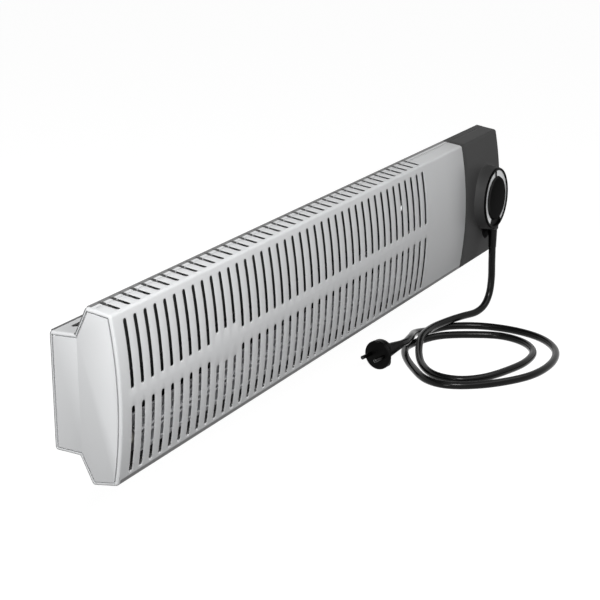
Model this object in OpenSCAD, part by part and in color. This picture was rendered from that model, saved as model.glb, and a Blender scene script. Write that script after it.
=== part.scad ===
// Electric mini radiator: a slotted convector housing with a finned element inside,
// a thermostat head at its right end and a mains lead, hung on two wall screws.
// +X runs to the thermostat, +Y into the wall, +Z up. Depths are counted from the wall.
// The origin is the middle of the two screw holes, on the wall plane.

/* [Housing] */
// Overall length of the housing
body_len = 904; // [840:4:1000]
// Overall height of the housing
body_h = 170; // [168:1:176]
// Height of the curved front between its corners
front_h = 162; // [158:1:164]
// Height of the plinth that lies against the wall
plinth_h = 115; // [112:1:118]
// Depth of the plinth, from the wall to the notch
plinth_d = 27.5; // [26:0.5:30]
// Rise of the plinth's ledge towards the notch
ledge_rise = 1; // [0:0.5:2]
// Depth from the wall to the highest corner
corner_d = 40.5; // [39:0.5:42]
// Depth from the wall to the front corner
front_d = 67.5; // [66:0.5:70]
// How far the front bulges past its corners
front_bulge = 7.7; // [6:0.1:9]
// Wall of the mouldings
wall_t = 2; // [1.6:0.1:2.4]
// Depth from the wall to the joint between front cover and rear casing
joint_d = 48; // [46:0.5:50]
// Reach of the tongue that closes that joint
tongue_l = 6; // [4:0.5:8]

/* [Left end cap] */
// Thickness of the end cap's plate
cap_t = 4; // [3.5:0.5:6]
// Rounding of the end cap's edge
cap_round = 3; // [2:0.5:3]
// Length of the end cap's skirt inside the covers
cap_skirt_l = 8; // [6:1:12]

/* [Slots] */
// Number of slot columns
slot_count = 40; // [30:1:40]
// Distance from one slot to the next
slot_pitch = 16.5; // [15:0.5:17]
// Width of a slot
slot_w = 5.4; // [4.6:0.1:5.8]
// Distance from the left end to the first slot
slot_start = 19.7; // [19:0.1:22]
// Height of one front slot
slot_h = 65.5; // [60:0.5:66]
// Height of the plain band between the two rows
band_h = 16; // [12:1:20]
// First of the shortened slots at the bare field, counted from the left
short_first = 10; // [4:1:20]
// Number of shortened slots
short_count = 3; // [0:1:5]
// How much they are shortened
short_by = 8; // [4:1:12]
// Depth from the wall to the rear end of a top slot
top_slot_rear_d = 41.5; // [41:0.5:43]
// Depth from the wall to the front end of a top slot
top_slot_front_d = 64; // [62:0.5:64.5]
// Length of a ledge slot
ledge_slot_l = 60; // [40:2:64]
// Width of a ledge slot
ledge_slot_w = 6; // [4:0.5:8]
// Distance from one ledge slot to the next
ledge_slot_pitch = 74; // [70:1:80]
// Distance from either end of the covers to the nearest ledge slot
ledge_slot_start = 18; // [14:1:30]

/* [Wall fixing] */
// Distance between the two screw holes
hole_span = 600; // [500:10:640]
// Radius of the hole that the screw head enters
hole_r = 4.5; // [4:0.1:5]
// Radius of the screw slot above it
hole_slot_r = 2.25; // [2:0.05:2.5]
// Rise of the screw slot
hole_slot_l = 10; // [8:1:14]

/* [Thermostat head] */
// Length of the thermostat head
head_len = 116; // [112:1:124]
// Distance from the right end to the dial's centre
dial_in = 45; // [43:0.5:47]
// Outer radius of the dial
dial_r = 39.6; // [38:0.2:40.4]
// Depth from the wall to the dial's rim
dial_d = 89.6; // [89:0.2:91]
// Radius of the boss at the housing's face
boss_foot_r = 58; // [56:1:60]
// Width of the boss's front rim beyond the dial
boss_rim = 0.6; // [0.4:0.1:1]
// Depth from the wall to the boss's front rim
boss_d = 87.4; // [87:0.2:87.4]
// Drop from the dial's centre to the cord hood's flat underside
hood_drop = 43; // [43:0.5:45]
// Width of the cord hood at the housing's face
hood_foot_w = 40; // [38:1:42]
// Width of the cord hood at its front
hood_front_w = 23; // [23:1:26]
// Depth from the wall to the cord hood's front
hood_d = 89.2; // [89:0.1:89.4]
// Radius of the knob
knob_r = 28; // [26:0.5:28.2]
// Depth from the wall to the knob's rim
knob_d = 90.6; // [90:0.2:92]
// Depth of the knob's dish
dish_t = 2.6; // [1:0.2:3]
// Pointer's angle at rest, from the top towards the left
pointer_rest = 5; // [0:5:60]
// Angle covered by the scale
scale_sweep = 300; // [270:10:300]
// Radius of the thermostat's shaft
shaft_r = 3; // [2.5:0.1:3.2]

/* [Heating element] */
// Depth from the wall to the element's axis
element_d = 50; // [49:0.5:51]
// Drop from the origin to the element's axis
element_drop = 52; // [50:0.5:53]
// Radius of the heating rod
rod_r = 4; // [3.5:0.1:4.4]
// Reach of the fins from the rod's axis
fin_reach = 17.5; // [15:0.5:17.5]
// Thickness of a fin
fin_t = 1.4; // [1:0.1:2]
// Number of fins
fin_count = 8; // [6:1:8]
// Distance from the left end to the finned part
fins_in = 54; // [52:1:64]
// Depth from the wall to the heat shield's back
shield_d = 19.2; // [18:0.2:19.8]

/* [Mains lead] */
// Diameter of the cord
cord_dia = 9.4; // [8.6:0.1:9.6]
// Length of the strain relief's tapered sleeve
relief_l = 26; // [22:1:30]
// Radius of the plug's body
plug_r = 18.2; // [17:0.1:18.2]
// Length of the plug's body
plug_l = 13.5; // [12.5:0.5:15]
// Length of the plug's tapered neck
plug_neck_l = 38.5; // [36:0.5:40]
// Radius of a plug pin
pin_r = 2.4; // [2.3:0.05:2.5]
// Length of a plug pin
pin_l = 19; // [17:0.5:19]
// Distance between the plug pins
pin_span = 19; // [18:0.5:20]

/* [Hidden] */

// Facets of small rounds, of dials and bosses, and of the long front curve
fine = 32;
round_fn = 96;
curve_fn = 480;
// Steps of a rounded edge and of the end cap's front curve
edge_steps = 5;
curve_steps = 16;
// Overrun of every cut
over = 1;
// Clearance of mouldings that slide into each other, and of screws in their holes
fit = 0.2;
screw_fit = 0.05;
// Visible gap of a joint between covers
joint_gap = 0.3;

// Ends and corners of the housing
left_x = -body_len / 2;
right_x = body_len / 2;
cover_x = left_x + cap_t;
seam_x = right_x - head_len;
cover_len = seam_x - cover_x;
apex_d = front_d + front_bulge;
top_slope = (body_h - front_h) / 2 / (front_d - corner_d);
apex_z = front_h / 2 - top_slope * front_bulge;
front_r = (pow(front_h / 2, 2) + pow(front_bulge, 2)) / (2 * front_bulge);
notch_z = plinth_h / 2 + ledge_rise;
ledge_slot_count = floor((body_len - head_len - 2 * ledge_slot_start + ledge_slot_pitch
    - ledge_slot_l) / ledge_slot_pitch);

// Counterclockwise outline of the housing in depth (negative) and height
outline = [
    [0, -plinth_h / 2], [0, plinth_h / 2], [-plinth_d, notch_z], [-corner_d, body_h / 2],
    [-apex_d, apex_z], [-apex_d, -apex_z], [-corner_d, -body_h / 2], [-plinth_d, -notch_z]
];
// The front corners' rounding in flats: its centre, and the ways that the flats face
corner_round = 3.5;
corner_flats = 3;
top_angle = 90 - atan(top_slope);
corner_start = [-corner_d, body_h / 2] - corner_round * [-cos(top_angle), sin(top_angle)];
corner_way = [-sin(top_angle), -cos(top_angle)];
corner_reach = (corner_start - [front_r - apex_d, 0]) * corner_way;
corner_hub = corner_start + corner_way * (sqrt(pow(corner_reach, 2)
    - pow(norm(corner_start - [front_r - apex_d, 0]), 2) + pow(front_r - corner_round, 2))
    - corner_reach);
front_angle = atan2(corner_hub[1], front_r - apex_d - corner_hub[0]);
corner_step = (top_angle - front_angle) / (corner_flats + 1);
corner_points = [for (k = [0 : corner_flats])
    let (a = top_angle - (k + 0.5) * corner_step)
    corner_hub + corner_round / cos(corner_step / 2) * [-cos(a), sin(a)]];
last_flat = top_angle - corner_flats * corner_step;
last_point = corner_points[corner_flats - 1] + [-sin(last_flat), -cos(last_flat)]
    * (corner_points[corner_flats - 1][0] + apex_d) / sin(last_flat);

// The outline with those corners, which the front curve cuts
round_outline = concat(
    [for (i = [0 : 3]) outline[i]],
    [for (k = [0 : corner_flats - 1]) corner_points[k]],
    [last_point, [last_point[0], -last_point[1]]],
    [for (k = [corner_flats - 1 : -1 : 0]) [corner_points[k][0], -corner_points[k][1]]],
    [outline[6], outline[7]]
);
// The same with its front curve in steps, for the rounded end cap
cap_outline = concat(
    [for (i = [0 : 3]) outline[i]],
    corner_points,
    [for (i = [1 : curve_steps - 1])
        let (a = front_angle * (1 - 2 * i / curve_steps))
        [front_r - apex_d - front_r * cos(a), front_r * sin(a)]],
    [for (k = [corner_flats : -1 : 0]) [corner_points[k][0], -corner_points[k][1]]],
    [outline[6], outline[7]]
);

// Thickness of thin ribs and skirts, and of the sheet metal parts
rib_t = 1.5;
sheet_t = 1.2;
shield_t = 0.8;

// Screws: shank, head and head height of the small ones
screw_r = 1.25;
screw_head_r = 2.8;
screw_head_h = 2;
screw_len = 8;
post_r = 4;
foot_post_l = 4;
cover_screw_shares = [0.041, 0.387, 0.756, 0.963];
cover_screw_in = 3;
cover_screw_len = 6;

// Posts that hold the two halves of the thermostat head
head_post_r = 5;
head_post_z = 44;
head_post_x = [seam_x + 14, right_x - 9];
head_post_d = 58;
head_post_floor = 4;
head_screw_r = 1.4;
head_screw_head_r = 3;
head_screw_len = 14;
head_screw_well_r = 3.3;

// Bulkhead at the seam
bulkhead_in = 6;
bulkhead_rim_l = 12;
earth_d = 30;
earth_z = 20;
earth_screw_r = 1.5;
earth_head_r = 3.2;
earth_head_h = 2.4;
earth_screw_len = 7;

// Dial
dial_x = right_x - dial_in;
bezel_lip = 2.8;
bezel_floor_d = 87.2;
bezel_back_d = 85;
bezel_collar_r = 30.4;
bezel_collar_t = 1.6;
bezel_collar_l = 6;
scale_in_r = 28.9;
scale_fit = 0.1;
scale_t = 1;
knob_back_d = 80;
knob_wall = 2.4;
knob_hub_r = 6;
knob_hub_d = 74;
knob_bore_end_d = 84;
knob_edge = 1.6;
pointer_w = 2;
pointer_gap = 0.2;
pointer_t = 1;
pointer_fit = 0.3;
boss_steps = 8;
boss_straight_d = 2;
boss_seat_in = 1.2;
boss_foot_d = 72;
seat_fit = 0.3;

// Thermostat behind the dial
stat_d = 60;
stat_w = 36;
stat_h = 30;
stat_l = 24;
stat_bush_r = 5;
stat_bush_l = 8;
stat_bore_l = 10;
nut_r = 8;
nut_t = 3;
bracket_w = 48;
bracket_h = 36;
bracket_foot_l = 11;
foot_hole_in = 6;
tab_w = 6;
tab_t = 0.8;
tab_l = 7;
shaft_flat = 0.6;

// Element and what carries it
stub_l = 20;
terminal_r = 2;
terminal_l = 10;
terminal_nut_r = 4;
terminal_nut_t = 3;
hanger_in = 42;
fins_out = 50;
hanger_r = 13;
hanger_h = 16;
bush_r = 6.9;
bush_flange_r = 9.5;
bush_flange_t = 3;
bush_tail = 3;
fin_core_r = 7;
fin_tip_r = 1.4;
rod_fit = 0.05;
shield_low_z = -50;
shield_top_z = -8;
shield_lip = 6;
shield_post_z = -20;
shield_post_shares = [-0.4, -0.145, 0.07, 0.28];
shield_in = 62;
cutout_x = 150;
cutout_z = -29;
cutout_r = 8;
cutout_h = 9;
clip_w = 36;
clip_h = 20;

// Terminal block, cord clamp and strain relief
block_in = 24;
block_x = seam_x + block_in;
block_w = 30;
block_d = 14;
block_h = 18;
block_low_z = -54;
block_hole_r = 1.8;
block_hole_l = 6;
cord_out = 6.5;
cord_x = dial_x + cord_out;
cord_d = 82.3;
relief_top_r = 6;
relief_neck_r = 4.4;
relief_flange_r = 5;
relief_flange_t = 2;
relief_end_r = 5.1;
hood_wall = 1.6;
clamp_w = 19;
clamp_l = 6.8;
clamp_h = 4;
clamp_gap_w = 9.2;
clamp_bar = 1;
clamp_d = 82.9;

// Wires
wire_r = 1.2;
wire_sides = 8;
wire_bend = 2.5;
wire_gap = 3.2;
wire_rise = 4;
wire_in_d = 62;
capillary_r = 0.8;
capillary_bend = 16;
capillary_lead = 14;
bulb_r = 3;
bulb_l = 78;
wire_hole_r = 1.5;
shield_wire_d = 11;
shield_wire_z = -30;
return_wire_d = 45;
return_wire_z = -36;
bulb_d = 60;
bulb_gap = 2.2;
bulb_z = top_slope * (bulb_d - corner_d) - body_h / 2 + wall_t + bulb_r + bulb_gap;

// Plug, lying on the floor that the lead lies on
floor_z = -165;
plug_face = [152.5, -38.5, floor_z + plug_r];
plug_turn = 171;
plug_back_r = 15.5;
plug_back_l = 2;
plug_grip_in = 4.5;
plug_neck_r = 10;
plug_flat = 6.2;
clip_r = 17.2;
earth_clip_w = 6;
earth_clip_t = 0.8;
earth_clip_l = 11;
pin_tip = 1.2;

// Route of the lead: down from the relief, over two of its own turns in a low hump,
// twice round on the floor and straight into the plug's neck
cord_sides = 10;
rings_per_span = 2;
hump_z = -150.3;
lay_z = floor_z + cord_dia / 2;
relief_end_z = -hood_drop - relief_l;
plug_way = [cos(plug_turn), sin(plug_turn), 0];
neck_end = plug_face - (plug_l + plug_neck_l) * plug_way;
neck_lead_l = 12;
cord_route = [
    [cord_x, -cord_d, relief_end_z], [cord_x, -cord_d, -90], [cord_x, -cord_d, -112],
    [408.8, -81.6, -132], [396, -79.8, -145], [378, -75.3, hump_z], [354, -65.9, hump_z],
    [328.3, -57.4, hump_z], [292.6, -50.3, hump_z], [256, -52.2, -150.9], [220.3, -64.1, -156.2],
    [186.8, -82.3, -159.8], [161, -105, lay_z], [150.8, -127.5, lay_z], [154.3, -151, lay_z],
    [174.2, -171.5, lay_z], [207.6, -185.9, lay_z], [246.8, -194.9, lay_z], [286.3, -190.4, lay_z],
    [316.2, -167.1, lay_z], [328.3, -132, lay_z], [316.8, -95.3, lay_z], [295.2, -62.5, lay_z],
    [266.1, -47.2, lay_z], [234, -41.3, lay_z], [202, -54.3, lay_z], [164.7, -81.9, lay_z],
    [134.9, -112.7, lay_z], [129.9, -146, lay_z], [155, -185, lay_z], [201.7, -216.9, lay_z],
    [254.3, -225, lay_z], [303.9, -213.4, lay_z], [340.2, -183.1, lay_z], [356.8, -141.9, lay_z],
    [355.8, -96.1, lay_z], [336.8, -58.1, lay_z], [305.1, -40.6, -159.4], [272, -35.5, -153.6],
    [240, -44, -148.2], neck_end - neck_lead_l * plug_way
];

// Geometry of outlines, curves and tubes

function unit(v) = v / norm(v);

function inner_normal(a, b) = let (u = unit(b - a)) [-u[1], u[0]];

// A closed outline moved inwards by d, with sharp corners
function inset(points, d) =
    [for (i = [0 : len(points) - 1])
        let (n = len(points), a = points[(i + n - 1) % n], b = points[i], c = points[(i + 1) % n],
             p = inner_normal(a, b), q = inner_normal(b, c))
        b + (p + q) * d / (1 + p * q)];

// A point between p1 and p2 on a smooth curve through four points
function smooth(p0, p1, p2, p3, t) =
    (2 * p1 + (p2 - p0) * t + (2 * p0 - 5 * p1 + 4 * p2 - p3) * pow(t, 2)
        + (3 * p1 - p0 - 3 * p2 + p3) * pow(t, 3)) / 2;

function curve(points, steps) =
    let (n = len(points))
    [for (i = [0 : n - 2], k = [0 : steps - (i == n - 2 ? 0 : 1)])
        smooth(
            i == 0 ? 2 * points[0] - points[1] : points[i - 1], points[i], points[i + 1],
            i == n - 2 ? 2 * points[n - 1] - points[n - 2] : points[i + 2], k / steps)];

// The same points with each corner rounded, starting at a distance of cut from it
function bent(points, cut) =
    let (n = len(points))
    concat([points[0]], [for (i = [1 : n - 2], k = [0 : 2])
        let (p = points[i], a = p + cut * unit(points[i - 1] - p),
             b = p + cut * unit(points[i + 1] - p))
        k == 0 ? a : k == 1 ? (a + 2 * p + b) / 4 : b], [points[n - 1]]);

function route_length(points) =
    [for (i = [1 : len(points) - 1]) norm(points[i] - points[i - 1])] *
    [for (i = [1 : len(points) - 1]) 1];

function heading(points, i) =
    i == 0 ? unit(points[1] - points[0])
    : i == len(points) - 1 ? unit(points[i] - points[i - 1])
    : unit(unit(points[i + 1] - points[i]) + unit(points[i] - points[i - 1]));

// A side direction square to every heading, turned as little as possible on the way
function sides_along(points, i = 0, last = [1, 0, 0], found = []) =
    i == len(points) ? found
    : let (h = heading(points, i), s = unit(last - h * (last * h)))
      sides_along(points, i + 1, s, concat(found, [s]));

// Least clear distance between stretches of a tube that lie over six diameters apart
function self_gap(points, dia) =
    let (step = route_length(points) / (len(points) - 1), skip = ceil(6 * dia / step))
    min([for (i = [0 : len(points) - 1 - skip], j = [i + skip : len(points) - 1])
        norm(points[i] - points[j])]) - dia;

// A tube of radius r through the points
module tube(points, r, sides, start_side = [0.9, 0.3, 0.3]) {
    n = len(points);
    side = sides_along(points, 0, start_side);
    corners = [for (i = [0 : n - 1], k = [0 : sides - 1])
        let (a = 360 * k / sides, u = side[i], v = cross(heading(points, i), u))
        points[i] + r * (u * cos(a) + v * sin(a))];
    start = [[for (k = [0 : sides - 1]) k]];
    end = [[for (k = [sides - 1 : -1 : 0]) (n - 1) * sides + k]];
    skin = [for (i = [0 : n - 2], k = [0 : sides - 1], half = [0, 1])
        let (a = i * sides + k, b = i * sides + (k + 1) % sides)
        half == 0 ? [b + sides, b, a] : [a + sides, b + sides, a]];
    polyhedron(points = corners, faces = concat(start, end, skin));
}

// Ways to lay a flat shape or a round in the housing

module along_x(x, l) {
    translate([x, 0, 0]) rotate([90, 0, 90]) linear_extrude(l) children();
}

module along_y(d, l) {
    translate([0, -d, 0]) rotate([90, 0, 0]) linear_extrude(l) children();
}

module rod_x(x, d, z, l, r, fn = fine) {
    translate([x, -d, z]) rotate([0, 90, 0]) cylinder(h = l, r = r, $fn = fn);
}

module rod_y(x, d, z, l, r, fn = fine) {
    translate([x, -d, z]) rotate([90, 0, 0]) cylinder(h = l, r = r, $fn = fn);
}

// A round part about the dial's axis: points give radius and depth from the wall
module turned(points) {
    translate([dial_x, 0, 0]) rotate([90, 0, 0]) rotate_extrude($fn = round_fn) polygon(points);
}

module slab(x, w, d, t, z, h) {
    translate([x, -d - t, z]) cube([w, t, h]);
}

module stadium(w, l) {
    square([w, l - w], center = true);
    for (s = [-1, 1]) translate([0, s * (l - w) / 2]) circle(d = w, $fn = fine);
}

// A screw along Y: its head starts at depth d and its shank runs towards the wall
module screw_y(x, d, z, l = screw_len, r = screw_r, head_r = screw_head_r, head_h = screw_head_h) {
    rod_y(x, d, z, head_h, head_r);
    rod_y(x, d - l, z, l, r);
}

// Section of the housing, d inside its skin, rounded at the front corners on the skin itself

module section(d) {
    intersection() {
        polygon(d == 0 ? round_outline : inset(outline, d));
        translate([front_r - apex_d, 0]) circle(r = front_r - d, $fn = curve_fn);
    }
}

// The part of a section between two depths
module between(d0, d1) {
    intersection() {
        children();
        translate([-d1, -body_h]) square([d1 - d0, 2 * body_h]);
    }
}

module wall_section(d = 0, t = wall_t) {
    difference() {
        section(d);
        section(d + t);
    }
}

module each_slot() {
    for (i = [0 : slot_count - 1]) translate([left_x + slot_start + i * slot_pitch, 0, 0]) {
        $short = i + 1 >= short_first && i + 1 < short_first + short_count ? short_by : 0;
        children();
    }
}

module front_slots() {
    each_slot() for (s = [-1, 1])
        along_y(front_d - slot_w, front_bulge + slot_w + over)
            translate([0, s * (band_h + slot_h + $short) / 2]) stadium(slot_w, slot_h - $short);
}

// Slots of the top and bottom faces, ending just in front of the highest corner
module top_slots() {
    mid_d = (top_slot_rear_d + top_slot_front_d) / 2;
    l = top_slot_front_d - top_slot_rear_d;
    each_slot() for (s = [0, 1]) mirror([0, 0, s])
        translate([0, -mid_d, front_h / 2 - slot_w - wall_t])
            linear_extrude(body_h) stadium(slot_w, l);
}

module ledge_slots() {
    first = left_x + ledge_slot_start + ledge_slot_l / 2;
    for (i = [0 : ledge_slot_count - 1], s = [0, 1]) mirror([0, 0, s])
        translate([first + i * ledge_slot_pitch, -plinth_d / 2, plinth_h / 2 - wall_t - over])
            linear_extrude(wall_t + ledge_rise + 2 * over)
                rotate(90) stadium(ledge_slot_w, ledge_slot_l);
}

// Places of the screws through the lower joint, square to the bottom face
module at_cover_screws() {
    screw_d = joint_d + cover_screw_in;
    for (share = cover_screw_shares) {
        column = round((share * cover_len + cap_t - slot_start) / slot_pitch) + 0.5;
        translate([left_x + slot_start + column * slot_pitch, -screw_d,
                   -body_h / 2 + top_slope * (screw_d - corner_d)])
            rotate([180 - atan(top_slope), 0, 0]) children();
    }
}

module front_cover() {
    color("gainsboro") difference() {
        along_x(cover_x, cover_len) between(joint_d + joint_gap, apex_d + over) wall_section();
        front_slots();
        top_slots();
        at_cover_screws() translate([0, 0, -cover_screw_len]) cylinder(
            h = cover_screw_len + over, r = screw_r + screw_fit, $fn = fine);
    }
}

// Tongue under the front cover's edge, joined to the rear casing behind the joint
module tongue() {
    x = cover_x + cap_skirt_l + over;
    l = seam_x - bulkhead_in - over - x;
    along_x(x, l) {
        between(joint_d - tongue_l / 2, joint_d) wall_section(wall_t);
        between(joint_d - over, joint_d + tongue_l) wall_section(wall_t + fit, wall_t - fit);
    }
}

module foot_posts(x, z, l) {
    rod_y(x, wall_t / 2, z, wall_t / 2 + l, post_r);
}

module foot_pilots(x, z, l) {
    rod_y(x, wall_t, z, l + over, screw_r + screw_fit);
}

shield_post_x = [for (share = shield_post_shares) share * body_len];
hanger_left_x = left_x + hanger_in;
hanger_right_x = seam_x - hanger_in + sheet_t;
hanger_low_z = -element_drop + wall_t;
hanger_foot_z = hanger_low_z + hanger_h / 2;
hanger_foot_x = [hanger_left_x - foot_hole_in, hanger_right_x - sheet_t + foot_hole_in];

module keyhole() {
    circle(r = hole_r, $fn = fine);
    translate([-hole_slot_r, 0]) square([2 * hole_slot_r, hole_slot_l]);
    translate([0, hole_slot_l]) circle(r = hole_slot_r, $fn = fine);
}

module rear_casing() {
    color("lightgray") difference() {
        union() {
            along_x(cover_x, cover_len) between(-over, joint_d) wall_section();
            tongue();
            for (x = shield_post_x) foot_posts(x, shield_post_z, shield_d - wall_t);
            for (x = hanger_foot_x) foot_posts(x, hanger_foot_z, foot_post_l);
        }
        top_slots();
        ledge_slots();
        for (s = [-1, 1]) along_y(-over, wall_t + 2 * over)
            translate([s * hole_span / 2, 0]) keyhole();
        for (x = shield_post_x) foot_pilots(x, shield_post_z, shield_d - wall_t);
        for (x = hanger_foot_x) foot_pilots(x, hanger_foot_z, foot_post_l);
        at_cover_screws() translate([0, 0, -cover_screw_len - over]) cylinder(
            h = cover_screw_len + 2 * over, r = screw_r + screw_fit, $fn = fine);
    }
}

// Faces across a ring of the end cap, in strips between mirrored points
function cap_strips(n, first) =
    [for (j = [0 : (n - 3) / 2], half = [0, 1])
        let (low = (n - j) % n, up = 1 + j, next_low = n - j - 1, next_up = 2 + j)
        if (half == 0 || next_up != next_low)
            half == 0 ? [first + low, first + up, first + next_up]
            : [first + low, first + next_up, first + next_low]];

module left_end_cap() {
    n = len(cap_outline);
    rings = concat(
        [for (k = [0 : edge_steps])
            let (a = 90 * k / edge_steps)
            [left_x + cap_round * (1 - cos(a)), cap_round * (1 - sin(a))]],
        [[cover_x, 0]]);
    points = [for (r = rings, p = inset(cap_outline, r[1])) [r[0], p[0], p[1]]];
    last = len(rings) - 1;
    skin = [for (i = [0 : last - 1], k = [0 : n - 1], half = [0, 1])
        let (a = i * n + k, b = i * n + (k + 1) % n)
        half == 0 ? [a, a + n, b + n] : [a, b + n, b]];
    color("gainsboro") {
        polyhedron(points = points, faces = concat(
            cap_strips(n, 0), skin, [for (f = cap_strips(n, last * n)) [f[2], f[1], f[0]]]));
        along_x(cover_x - over, cap_skirt_l + over) wall_section(wall_t + fit, rib_t);
    }
}

module bulkhead() {
    x = seam_x - bulkhead_in;
    color("silver") difference() {
        union() {
            along_x(x, bulkhead_rim_l) wall_section(wall_t + fit, sheet_t);
            along_x(x, sheet_t) section(wall_t + fit);
        }
        rod_x(x - over, shield_wire_d, shield_wire_z, sheet_t + 2 * over, wire_hole_r);
        rod_x(x - over, return_wire_d, return_wire_z, sheet_t + 2 * over, wire_hole_r);
        rod_x(x - over, bulb_d, bulb_z, sheet_t + 2 * over, capillary_r + fit);
        rod_x(x - over, earth_d, earth_z, sheet_t + 2 * over, earth_screw_r + screw_fit);
    }
}

// Thermostat head

boss_r = dial_r + boss_rim;
boss_seat_r = dial_r - boss_seat_in;

// The boss flares to its foot in a curve, d inside its skin
function boss_profile(d) = concat(
    [[0, boss_foot_d - boss_straight_d], [boss_foot_r - d, boss_foot_d - boss_straight_d]],
    [for (k = [0 : boss_steps])
        let (a = 90 * k / boss_steps)
        [boss_foot_r - d - (boss_foot_r - boss_r) * sin(a),
         boss_foot_d + (boss_d - boss_straight_d - boss_foot_d) * (1 - cos(a))]],
    [[boss_r - d, boss_d], [0, boss_d]]);

// Outline of the cord hood seen from above, d inside its skin
function hood_outline(d) =
    let (slant = (hood_foot_w - hood_front_w) / 2)
    [[-hood_foot_w / 2 + d, -boss_foot_d + slant], [-hood_foot_w / 2 + d, -boss_foot_d],
     [-hood_front_w / 2 + d, -hood_d + d], [hood_front_w / 2 - d, -hood_d + d],
     [hood_foot_w / 2 - d, -boss_foot_d], [hood_foot_w / 2 - d, -boss_foot_d + slant]];

module boss(d, rim_d) {
    difference() {
        turned(boss_profile(d));
        translate([dial_x - body_h / 2, -body_h, -hood_drop + d - body_h]) cube(body_h);
        translate([dial_x - body_h / 2, -rim_d - body_h, -body_h / 2]) cube(body_h);
        translate([right_x - d, -body_h, -body_h / 2]) cube(body_h);
        translate([seam_x + joint_gap + d - body_h, -body_h, -body_h / 2]) cube(body_h);
    }
    translate([cord_x, 0, -hood_drop + d]) linear_extrude(hood_drop - boss_seat_r / 2)
        polygon(hood_outline(d));
}

module control_housing() {
    color("dimgray") difference() {
        union() {
            along_x(seam_x + joint_gap, head_len - joint_gap)
                between(joint_d + joint_gap, apex_d + over) section(0);
            difference() {
                boss(0, boss_d);
                along_x(seam_x, head_len) between(joint_d, front_d) section(wall_t / 2);
            }
        }
        difference() {
            union() {
                along_x(seam_x - over, head_len - wall_t + over) section(wall_t);
                boss(hood_wall, boss_d - wall_t);
            }
            for (x = head_post_x, s = [-1, 1])
                rod_y(x, head_post_d, s * head_post_z, apex_d - head_post_d, head_post_r);
        }
        rod_y(dial_x, joint_d, 0, dial_d, boss_seat_r, round_fn);
        rod_y(dial_x, boss_d, 0, dial_d, dial_r + seat_fit, round_fn);
        for (x = head_post_x, s = [-1, 1])
            rod_y(x, head_post_d - over, s * head_post_z, head_screw_len - head_post_floor + over,
                head_screw_r + screw_fit);
        translate([cord_x, -cord_d, -hood_drop - over])
            cylinder(h = hood_wall + 2 * over, r = relief_neck_r + screw_fit, $fn = fine);
    }
}

module control_rear_cover() {
    feet = [dial_x - bracket_w / 2 - foot_hole_in, dial_x + bracket_w / 2 + foot_hole_in];
    color("dimgray") difference() {
        union() {
            difference() {
                along_x(seam_x + joint_gap, head_len - joint_gap) between(-over, joint_d) section(0);
                along_x(seam_x - over, head_len - wall_t + over) section(wall_t);
            }
            for (x = head_post_x, s = [-1, 1])
                rod_y(x, wall_t / 2, s * head_post_z, head_post_d - wall_t / 2, head_post_r);
            for (x = feet) foot_posts(x, 0, foot_post_l);
        }
        for (x = head_post_x, s = [-1, 1]) {
            rod_y(x, -over, s * head_post_z, head_post_d - head_post_floor + over,
                head_screw_well_r);
            rod_y(x, 0, s * head_post_z, head_post_d + over, head_screw_r + screw_fit);
        }
        for (x = feet) foot_pilots(x, 0, foot_post_l);
    }
}

module dial_bezel() {
    lip_r = dial_r - bezel_lip;
    seat_r = boss_seat_r - seat_fit;
    color("black") turned([
        [scale_in_r, bezel_back_d], [bezel_collar_r, bezel_back_d],
        [bezel_collar_r, bezel_back_d - bezel_collar_l],
        [bezel_collar_r + bezel_collar_t, bezel_back_d - bezel_collar_l],
        [bezel_collar_r + bezel_collar_t, bezel_back_d], [seat_r, bezel_back_d],
        [seat_r, boss_d], [dial_r, boss_d],
        [dial_r, dial_d - bezel_lip / 3], [dial_r - bezel_lip / 3, dial_d],
        [lip_r, dial_d], [lip_r, bezel_floor_d], [scale_in_r, bezel_floor_d]
    ]);
}

module scale_ring() {
    gap = 360 - scale_sweep;
    out_r = dial_r - bezel_lip - scale_fit;
    color("silver") translate([dial_x, 0, 0]) along_y(bezel_floor_d, scale_t) difference() {
        circle(r = out_r, $fn = round_fn);
        circle(r = scale_in_r, $fn = round_fn);
        polygon([[0, 0], 2 * out_r * [-sin(gap / 2), -cos(gap / 2)],
                 2 * out_r * [sin(gap / 2), -cos(gap / 2)]]);
    }
}

module control_knob() {
    dish_r = knob_r - knob_edge;
    dish = [for (k = [0 : boss_steps])
        [dish_r * (1 - k / boss_steps), knob_d - dish_t * (1 - pow(1 - k / boss_steps, 2))]];
    color("#1c1c1c") difference() {
        turned(concat([[0, knob_hub_d], [knob_hub_r, knob_hub_d],
            [knob_hub_r, knob_bore_end_d], [knob_r - knob_wall, knob_bore_end_d],
            [knob_r - knob_wall, knob_back_d], [knob_r, knob_back_d],
            [knob_r, knob_d - knob_edge / 2], [knob_r - knob_edge / 2, knob_d]], dish));
        rod_y(dial_x, knob_hub_d - over, 0, knob_bore_end_d - knob_hub_d + over,
            shaft_r + screw_fit);
    }
}

module knob_pointer() {
    out_r = dial_r - bezel_lip - pointer_fit;
    color("#1c1c1c") difference() {
        translate([dial_x, 0, 0]) along_y(bezel_floor_d + scale_t + pointer_gap, pointer_t)
            rotate(pointer_rest) translate([-pointer_w / 2, 0]) square([pointer_w, out_r]);
        rod_y(dial_x, joint_d, 0, dial_d, knob_r, round_fn);
    }
}

module thermostat_shaft() {
    back_d = stat_d - stat_bore_l + stat_bush_l + over;
    tip_d = knob_bore_end_d - fit;
    color("silver") difference() {
        rod_y(dial_x, back_d, 0, tip_d - back_d, shaft_r);
        translate([dial_x - shaft_r, -tip_d - over, shaft_r - shaft_flat])
            cube([2 * shaft_r, tip_d - knob_hub_d + over, shaft_r]);
    }
}

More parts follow.
